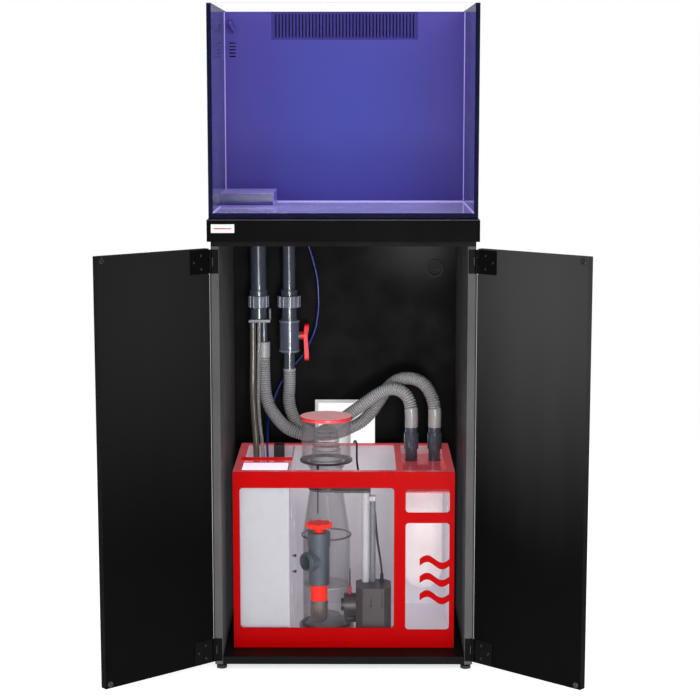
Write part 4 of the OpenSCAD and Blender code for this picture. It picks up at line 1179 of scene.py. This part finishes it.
@dataclass
class Cabinet:
    """The carcass, its doors and their hinges.

    Attributes:
        arris: Rounding of the board edges in millimetres.
        pivot: Distance of the hinge pins from the middle, in millimetres.
        pivot_back: Place of the hinge pins behind the carcass front, in millimetres.
        swing: Angle of the open doors in degrees.
        inner: Inner face of a closed door behind the carcass front, in millimetres.
        leaf: Height and width of a hinge leaf in millimetres.
        seal_r: Radius of the rubber seal in the gap between two hinges, in millimetres.
        window: Left edge, sill height, width and height of the back window in millimetres.
        lining_w: Width of the pale band along the window's left and top edges, which stands in for shade, in
            millimetres.
        leaf_gap: Distance of a leaf from the hinge's middle and of a screw's seat from the door.
        leaf_end: Distance of the leaves from the door's ends in millimetres.
        bumper_x: Distance of the bumpers from the middle in millimetres.
        bumper_end: Distance of the bumpers from the door's ends in millimetres.
        ring_w: Width of the grommet's ring outside its flap in millimetres.
    """

    arris: float = 1.0
    pivot: float = 298.0
    pivot_back: float = -1.5
    swing: float = 139.0
    inner: float = -3.0
    leaf: float = 54.0
    seal_r: float = 1.4
    window: tuple[float, float, float, float] = (-76.0, 340.0, 152.0, 210.0)
    lining_w: float = 8.5
    leaf_gap: tuple[float, float] = (1.0, 1.2)
    leaf_end: float = 2.0
    bumper_x: float = 13.0
    bumper_end: float = 10.0
    ring_w: float = 7.0

    SCREW_SPOTS = ((22.0, 12.0), (22.0, 42.0), (42.0, 27.0))
    SCREW_HEAD = [(0, -0.6), (3.4, -0.6), (3.4, 0.1), (2.6, 0.7), (1.3, 0.9), (1.3, 0.2), (0, 0.2)]
    BUMPER = [(0, -0.3), (7, -0.3), (7, 1.6), (5.6, 2.8), (2.4, 2.8), (1.6, 2.1), (0, 2.1)]
    FLAP = [(0, 0.6), (2.0, 0.6), (2.4, 0), (5.6, 0), (6.0, 0.5), (9.6, 0.5), (10.0, 0)]
    FLAP_T = 2.4

    def swung(self, piece: bpy.types.Object, side: int) -> bpy.types.Object:
        """Turns a piece made on the closed door to where the open door holds it.

        Args:
            piece: A piece placed on the closed door.
            side: -1 for the left door, 1 for the right one.

        Returns:
            The piece, its place in its mesh.
        """
        hinge = at(side * self.pivot, self.pivot_back, 0.0)
        turn = Matrix.Rotation(math.radians(side * self.swing), 4, "Z")
        piece.matrix_world = Matrix.Translation(hinge) @ turn @ Matrix.Translation(-hinge)
        return settle(piece)

    def boards(self) -> None:
        """The carcass boards, the feet and the grommet."""
        for node in ("cabinet_top", "cabinet_bottom", "back_panel"):
            refined(node, self.arris)
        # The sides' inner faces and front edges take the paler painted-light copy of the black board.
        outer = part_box("side_right")[1].x - self.arris * MM
        for node in ("side_left", "side_right"):
            repaint(refined(node, self.arris), SIDE_PAINTED_LIGHT, lambda spot: abs(spot.x) < outer)
        refined("feet", 1.5)
        refined("cable_grommet", 0.8)

    def brush(self) -> None:
        """The rubber flap inside the cable grommet."""
        low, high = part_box("cable_grommet")
        reach = (high.x - low.x) / 2 / MM - self.ring_w - 0.1
        profile = [*self.FLAP, (reach, 0), (reach, self.FLAP_T), (0, self.FLAP_T)]
        flap = turned("grommet_flap", profile, (low + high) / 2, (0, 1, 0), 48)
        dress(flap, RUBBER, ROOT, "rubber_black")

    def lining(self) -> None:
        """The pale band along the left and top edges of the window in the back panel, which stands in for
        the shade there and glows with painted light.
        """
        low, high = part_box("back_panel")
        x, z, wide, tall = (size * MM for size in self.window)
        band = self.lining_w * MM
        top = z + tall
        for name, left, right, foot in (("side", x, x + band, z), ("head", x + band, x + wide, top - band)):
            bar = hull_box(f"window_lining_{name}", Vector((left, low.y + MM, foot)),
                           Vector((right, high.y - MM, top)), 0.6)
            dress(bar, WINDOW_SHADE_BAND, ROOT, "white_gloss")

    def seals(self) -> None:
        """A thin rubber seal in the gap beside each door, between its two hinges."""
        low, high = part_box("hinge_plates")
        gap = 0.5
        length = (high.z - low.z) / MM - 2 * (self.leaf + gap)
        for side, word in ((-1, "left"), (1, "right")):
            middle = at(side * self.pivot, self.pivot_back, (low.z + high.z) / 2 / MM)
            seal = drum(f"gap_seal_{word}", middle, self.seal_r, length, width=0.4, sides=16)
            dress(seal, RUBBER, ROOT, "rubber_black")

    def doors(self) -> None:
        """Both doors with their leaves, screws and bumpers."""
        refined("hinge_plates", 0.4)
        refined("hinge_pins", 0.3)
        for side, word in ((-1, "left"), (1, "right")):
            refined(f"door_{word}", self.arris)
            refined(f"hinge_leaves_{word}", 0.4)
            self.fittings(side, word)

    def fittings(self, side: int, word: str) -> None:
        """The screws of both hinge leaves and the two bumpers on one door."""
        low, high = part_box(f"door_{word}")
        body = f"{word}_door"
        inset, seat = self.leaf_gap
        edge = side * (self.pivot - inset)
        for row, base in (("low", low.z / MM + self.leaf_end),
                          ("high", high.z / MM - self.leaf_end - self.leaf)):
            for k, (inward, up) in enumerate(self.SCREW_SPOTS):
                place = at(edge - side * inward, self.inner + seat, base + up)
                screw = turned(f"hinge_screw_{word}_{row}_{k}", self.SCREW_HEAD, place, (0, 1, 0), 24)
                dress(self.swung(screw, side), SCREW, body, "hinge_black")
        for row, z in (("low", low.z / MM + self.bumper_end), ("high", high.z / MM - self.bumper_end)):
            place = at(side * self.bumper_x, self.inner, z)
            bumper = turned(f"door_bumper_{word}_{row}", self.BUMPER, place, (0, 1, 0), 32)
            dress(self.swung(bumper, side), BLACK, body, "rubber_black")

    def build(self) -> None:
        """Makes the whole cabinet."""
        self.boards()
        self.brush()
        self.lining()
        self.seals()
        self.doors()


# ---------------------------------------------------------------- plumbing


@dataclass
class Plumbing:
    """The rigid pipes, the unions and the valve.

    Attributes:
        arris: Rounding of the pipe ends in millimetres.
        ball_r: From the left side of the valve's ball to its middle, in millimetres.
        ring_up: Distance of the pressed rings from the valve's lower and upper end in millimetres.
        clip_at: Place of the clip from the lower left end of the unions, in millimetres.
        clip_size: Width, depth and height of the clip in millimetres.
    """

    arris: float = 0.8
    ball_r: float = 17.0
    ring_up: tuple[float, float] = (3.0, 9.0)
    clip_at: Point = (50.0, -12.0, 4.0)
    clip_size: Point = (5.0, 12.0, 30.0)

    RING = [(24.6, 0), (26.2, 0.6), (26.2, 4.8), (24.6, 5.4)]

    @property
    def pipe_back(self) -> float:
        """Place of the pipes' axes along y, in metres."""
        low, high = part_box("downpipes")
        return (low.y + high.y) / 2

    def pipes(self) -> None:
        """The downpipes, the union halves and the tails."""
        refined("downpipes", self.arris)
        refined("union_bodies", self.arris)
        refined("hose_tails", self.arris)
        refined("union_nuts", 0.5)

    def valve(self) -> None:
        """The clear valve with its white ball and red lever."""
        refined("valve_body", 1.2)
        refined("valve_ball", 0.5)
        refined("valve_handle", 1.2, 3)

    def collars(self) -> None:
        """Thin pressed rings round the valve's ends."""
        low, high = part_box("valve_body")
        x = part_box("valve_ball")[0].x + self.ball_r * MM
        first, last = (up * MM for up in self.ring_up)
        for name, z in (("valve_ring_low", low.z + first), ("valve_ring_high", high.z - last)):
            ring = turned(name, self.RING, Vector((x, self.pipe_back, z)))
            dress(ring, NUT, ROOT, "nut_grey")

    def clip(self) -> None:
        """The small pale clip beside the left union."""
        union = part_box("union_bodies")[0]
        corner = Vector((union.x, self.pipe_back, union.z)) + Vector(self.clip_at) * MM
        clip = hull_box("union_clip", corner, corner + Vector(self.clip_size) * MM, 1.0)
        dress(clip, GREY_PIPE, ROOT, "nut_grey")

    def build(self) -> None:
        """Makes the whole of the rigid plumbing."""
        self.pipes()
        self.valve()
        self.collars()
        self.clip()


# ---------------------------------------------------------------- sump


@dataclass
class Sump:
    """The acrylic sump with its red fascia, reservoir and filter sock.

    Attributes:
        wall: Thickness of the walls in millimetres.
        sock_dia: Diameter of the filter sock in millimetres.
        sock_length: Length of the filter sock in millimetres. Not used.
        felt: Thickness of its felt in millimetres.
        bar_depth: Depth of the red bar over the back of the reservoir in millimetres.
        bar_out: How far that bar starts inside and ends outside the reservoir, in millimetres.
        bar_t: Thickness of that bar in millimetres.
        sensor: Left and right side, front and back of the level sensor in millimetres.
        sensor_z: How far it hangs below and stands above the rim in millimetres.
        stud_at: Place of the shelf studs along x and behind the carcass front in millimetres.
        stud_z: Heights of the shelf studs in millimetres.
    """

    wall: float = 5.0
    sock_dia: float = 98.0
    sock_length: float = 300.0
    felt: float = 3.0
    bar_depth: float = 22.0
    bar_out: Point = (6.0, 5.0, 12.0)
    bar_t: float = 2.5
    sensor: Point = (-176.0, -150.0, 372.0, 390.0)
    sensor_z: Point = (40.0, 4.0)
    stud_at: Point = (-123.0, 160.0)
    stud_z: Point = (191.0, 230.0)

    SOCK_RIM = [(-4, -8.5), (3.6, -4), (4, -3.6), (4, -0.4), (3.6, 0), (-3.6, 0), (-4, -0.4)]
    STUD = [(0, 0), (2.0, 0), (2.0, 5), (3.6, 5.4), (3.6, 8.4), (2.8, 9.4), (0, 9.4)]

    def shell(self) -> None:
        """The box of the sump with its clear front."""
        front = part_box("sump_shell")[0].y
        shell = refined("sump_shell", 0.5)
        inside = front + (self.wall + 0.3) * MM
        repaint(shell, SUMP_FRONT, lambda spot: spot.y < inside)

    def red_parts(self) -> None:
        """The fascia, the rim and the plates of the filter chamber."""
        refined("sump_fascia", 0.5)
        refined("sump_rim", 0.5)
        refined("sock_plate", 0.4)

    def sock(self) -> None:
        """The needle-felt sock and its ring."""
        low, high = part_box("filter_sock")
        top = (high.z - low.z) / MM
        r = self.sock_dia / 2
        steps, rises = 10, 16
        drop, taper = 8.0, 20.0
        turns = [math.pi / 2 * k / steps for k in range(steps + 1)]
        outer = [(r * math.sin(a), r - r * math.cos(a)) for a in turns]
        straight = [(r, r + (top - drop - r) * k / rises) for k in range(1, rises + 1)]
        inner = [(x - self.felt * min(1.0, x / taper),
                  z + (self.felt if z < 1 else self.felt * max(0, 1 - z / r)))
                 for x, z in [*outer, *straight]]
        centre = Vector(((low.x + high.x) / 2, (low.y + high.y) / 2, low.z))
        felt = turned("filter_sock_felt", [*outer, *straight, *reversed(inner)], centre, steps=72)
        activate(felt)
        bpy.ops.object.mode_set(mode="EDIT")
        bpy.ops.mesh.select_all(action="SELECT")
        bpy.ops.transform.vertex_random(offset=0.0006, uniform=0.0, normal=1.0, seed=7)
        bpy.ops.object.mode_set(mode="OBJECT")
        smooth(felt, 80.0)
        collar = turned("filter_sock_ring", [(r + out, top + up) for out, up in self.SOCK_RIM], centre)
        dress(collar, WHITE, ROOT, "white_gloss", "filter_sock")
        dress(felt, FELT, ROOT, "felt", "filter_sock")

    def contents(self) -> None:
        """The top-up reservoir, the return pump, the level sensor and the two studs."""
        tub = refined("reservoir", 1.2)
        low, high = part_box("reservoir")
        front = low.y + 1.5 * MM
        # The reservoir's faces behind its front take the paler, glowing painted-light copy of the white
        # acrylic.
        repaint(tub, WHITE_LIT, lambda spot: spot.y > front and spot.z < high.z - MM)
        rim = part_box("sump_rim")[1].z
        left, right, back = (out * MM for out in self.bar_out)
        bar = hull_box("reservoir_bar", Vector((low.x + left, high.y - self.bar_depth * MM, rim)),
                       Vector((high.x + right, high.y + back, rim + self.bar_t * MM)), 0.6)
        dress(bar, RED_BAR, ROOT, "red_gloss")
        refined("return_pump", 3.0, 3)
        x_low, x_high, y_low, y_high = self.sensor
        below, above = self.sensor_z
        sensor = hull_box("level_sensor", at(x_low, y_low, rim / MM - below),
                          at(x_high, y_high, rim / MM + above), 2.0, 3)
        dress(sensor, BLACK, ROOT, "pump_black")
        for k, z in enumerate(self.stud_z):
            stud = turned(f"shelf_stud_{k}", self.STUD, at(*self.stud_at, z), (1, 0, 0), 24)
            dress(stud, BLACK, ROOT, "pump_black")

    def build(self) -> None:
        """Makes the whole sump."""
        self.shell()
        self.red_parts()
        self.sock()
        self.contents()


# ---------------------------------------------------------------- skimmer


@dataclass
class Skimmer:
    """The protein skimmer with its cup, lid and wedge valve.

    Attributes:
        cup_dia: Diameter of the collection cup in millimetres.
        neck_r: Radius of the neck in millimetres.
        collar_h: Height of the red collar under the wedge valve in millimetres.
        flange_up: Height of the cup's flange above its lowest point in millimetres.
        riser: Height of the riser's foot, its first ring and the pitch of its rings in millimetres.
        riser_slope: How much the riser narrows over each millimetre.
        stem_at: Place of the drain stem from the skimmer's axis in millimetres.
    """

    cup_dia: float = 118.0
    neck_r: float = 40.0
    collar_h: float = 38.0
    flange_up: float = 14.0
    riser: Point = (5.0, 26.0, 11.0)
    riser_slope: float = 11.0 / 73.0
    stem_at: Point = (-19.0, -54.0)

    SEAMS = (("seam_cone", 268.0, 57.1, 60.5),
             ("seam_base", 50.4, 57.1, 60.0),
             ("seam_neck", 382.0, 40.1, 43.0))
    BUBBLE_CONE = [(0, 0.1), (50, 0.1), (50, 3), (47, 5), (36, 20), (33, 24), (20, 26), (0, 26)]
    STEM = [(0, -118), (1.2, -118), (1.5, -117), (1.5, -14), (2.6, -13), (2.6, -6), (3.6, -5), (3.6, -1.7),
            (0, -1.7)]
    RISER_RINGS = 5

    @property
    def axis(self) -> Vector:
        """The skimmer's upright axis at floor height."""
        low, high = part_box("skimmer_cup")
        return Vector(((low.x + high.x) / 2, (low.y + high.y) / 2, 0.0))

    def body(self) -> None:
        """The clear body with its seams, the bubble plate and the base."""
        refined("skimmer_body", 0.5)
        refined("bubble_plate", 0.4, 1)
        refined("skimmer_base", 2.0, 3)
        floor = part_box("skimmer_body")[0].z + 3 * MM
        cone = turned("bubble_cone", self.BUBBLE_CONE, self.axis + Vector((0, 0, floor)))
        dress(cone, BASE_GREY, ROOT, "base_grey")
        for name, z, inside, reach in self.SEAMS:
            profile = [(inside, 0.3), (inside + 0.3, 0), (reach - 0.4, 0), (reach, 0.5), (reach, 3.5),
                       (reach - 0.4, 4), (inside + 0.3, 4), (inside, 3.7)]
            seam = turned(name, profile, self.axis + Vector((0, 0, z * MM)), steps=80)
            dress(seam, SKIM_EDGE, ROOT, "skimmer_clear")

    def cup(self) -> None:
        """The lift-off cup with its flange, rings and lid."""
        refined("skimmer_cup", 0.5)
        lid = refined("skimmer_lid", 1.2, 3)
        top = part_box("skimmer_lid")[1].z - 0.4 * MM
        # The lid's top face takes the paler, glowing painted-light copy.
        repaint(lid, LID_TOP, lambda spot: spot.z > top)
        cup_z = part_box("skimmer_cup")[0].z / MM + self.flange_up
        cup_r = self.cup_dia / 2
        inside, reach = self.neck_r + 4.2, cup_r + 3.9
        profile = [(inside, -1.6), (reach - 0.5, -1.6), (reach, -1.0), (reach, 2.6), (reach - 0.5, 3.2),
                   (cup_r + 0.2, 3.2), (cup_r - 6, -0.2), (inside, -0.2)]
        flange = turned("cup_flange", profile, self.axis + Vector((0, 0, cup_z * MM)), steps=96)
        dress(flange, CUP_FLANGE, "cup", "skimmer_clear")
        foot, first, pitch = self.riser
        for k in range(self.RISER_RINGS):
            up = first + pitch * k
            cone = self.neck_r - 3.0 - (up - foot) * self.riser_slope
            profile = [(cone + 0.05, 0.0), (cone + 1.3, 0.4), (cone + 1.3, 1.4), (cone - 0.15, 1.8)]
            ring = turned(f"riser_ring_{k}", profile, self.axis + Vector((0, 0, (cup_z + up) * MM)))
            dress(ring, SKIM_EDGE, "cup", "skimmer_clear")

    def drain_stem(self) -> None:
        """The thin black drain stem that hangs from the rim of the cup."""
        x, y = self.stem_at
        hang = Vector((x, y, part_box("skimmer_cup")[0].z / MM + self.flange_up)) * MM
        dress(turned("cup_drain_stem", self.STEM, self.axis + hang, steps=24), BLACK, "cup", "pump_black")

    def wedge(self) -> None:
        """The wedge valve, its star knob and its elbow."""
        refined("wedge_body", 1.5, 3)
        refined("wedge_knob", 1.8, 3)
        union = refined("wedge_union", 1.0)
        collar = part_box("wedge_union")[1].z - self.collar_h * MM
        # The collar takes the knob's glowing painted-light finish.
        repaint(union, KNOB, lambda spot: spot.z > collar + 0.05 * MM)

    def build(self) -> None:
        """Makes the whole skimmer."""
        self.body()
        self.cup()
        self.drain_stem()
        self.wedge()


# ---------------------------------------------------------------- skimmer pump


@dataclass
class FeedPump:
    """The pump of the skimmer, its air intake and its fittings.

    Attributes:
        block_x: Left face of the motor block in millimetres.
        volute_back: Middle of the volute behind the carcass front, in millimetres.
        volute_z: Height of its axis in millimetres.
        volute_r: Its radius in millimetres.
        volute_low: Height above which the darker volute starts, in millimetres.
        grey_x: Between the white air tube and the grey one, in millimetres.
        grey_top: Height where the grey tube ends, in millimetres.
        bend: Lower and upper height of the clear bend over the tubes, in millimetres.
        cap_low: Lower corner of the bend's end from its right side, back and height, in millimetres.
        cap_high: Upper corner of the bend's end in the same way.
        screw_x: Places of the pump's screws along x in millimetres.
        screw_z: Heights of the pump's screws in millimetres.
    """

    block_x: float = 28.0
    volute_back: float = 128.0
    volute_z: float = 120.0
    volute_r: float = 27.0
    volute_low: float = 92.0
    grey_x: float = 60.5
    grey_top: float = 367.0
    bend: Point = (357.5, 379.8)
    cap_low: Point = (-18.0, 142.0, 365.5)
    cap_high: Point = (1.0, 160.0, 379.5)
    screw_x: Point = (47.0, 92.0)
    screw_z: Point = (60.0, 158.0)

    SCREW = [(0, -0.5), (2.6, -0.5), (2.6, 0.5), (2.0, 0.9), (0.9, 0.9), (0.9, 0.2), (0, 0.2)]
    BARB = [(0, 0), (5.0, 0), (5.0, 4), (3.4, 5), (3.4, 9), (4.6, 9.6), (3.6, 13), (3.4, 13.2), (4.4, 14),
            (3.0, 18), (0, 18)]
    STEM = [(0, 17), (2.1, 17), (2.1, 24), (1.7, 26), (1.5, 60), (1.2, 61), (0, 61)]

    def block(self) -> None:
        """The motor block with its darker volute and the impeller."""
        body = refined("pump_body", 2.2, 3)
        side = (self.block_x - 0.2) * MM
        repaint(body, VOLUTE, lambda spot: spot.x < side and spot.z > self.volute_low * MM)
        refined("impeller", 0.4, 1)
        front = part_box("pump_body")[0].y
        for k, (z, x) in enumerate((z, x) for z in self.screw_z for x in self.screw_x):
            screw = turned(f"pump_screw_{k}", self.SCREW, Vector((x * MM, front, z * MM)), (0, -1, 0), 24)
            dress(screw, PUMP_BLACK, ROOT, "pump_black")

    def intake(self) -> None:
        """The air tubes, the elbow above them and the black bracket on the neck."""
        air = refined("silencer", 0.8)
        grey = self.grey_x * MM
        low, high = (z * MM for z in self.bend)
        repaint(air, GREY_PIPE, lambda spot: spot.x > grey and spot.z < self.grey_top * MM)
        repaint(air, CLEAR_ELBOW, lambda spot: spot.x < grey + MM and low < spot.z < high)
        repaint(air, BLACK, lambda spot: spot.z > high + MM / 10)
        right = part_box("silencer")[1].x / MM
        start, end = ((right + x, back, z) for x, back, z in (self.cap_low, self.cap_high))
        dress(hull_box("air_elbow_cap", at(*start), at(*end), 4.0, 4), CLEAR_ELBOW, ROOT, "pvc_clear_grey")

    def barb(self) -> None:
        """The red barb on the volute with its short black air stem."""
        foot = at(self.block_x - 14.0, self.volute_back, self.volute_z + self.volute_r - 0.6)
        dress(turned("air_barb", self.BARB, foot, steps=32), BARB, ROOT, "red_gloss")
        stem = turned("air_stem", self.STEM, foot, steps=24)
        dress(stem, BLACK, ROOT, "pump_black")

    def build(self) -> None:
        """Makes the whole pump."""
        self.block()
        self.intake()
        self.barb()


def main() -> None:
    """Builds the object in order."""
    logging.basicConfig(level=logging.INFO, format="%(name)s: %(message)s")
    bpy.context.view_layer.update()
    studio = Studio()
    studio.build()
    for assembly in (Hoses(), Tank(), Cabinet(), Plumbing(), Sump(), Skimmer(), FeedPump()):
        LOG.info("building %s", type(assembly).__name__)
        assembly.build()
    for node, finish in NODE_FINISH.items():
        source = frame["nodes"][node]
        source.data.materials.clear()
        source.data.materials.append(finish.make())


if __name__ == "__main__":
    main()
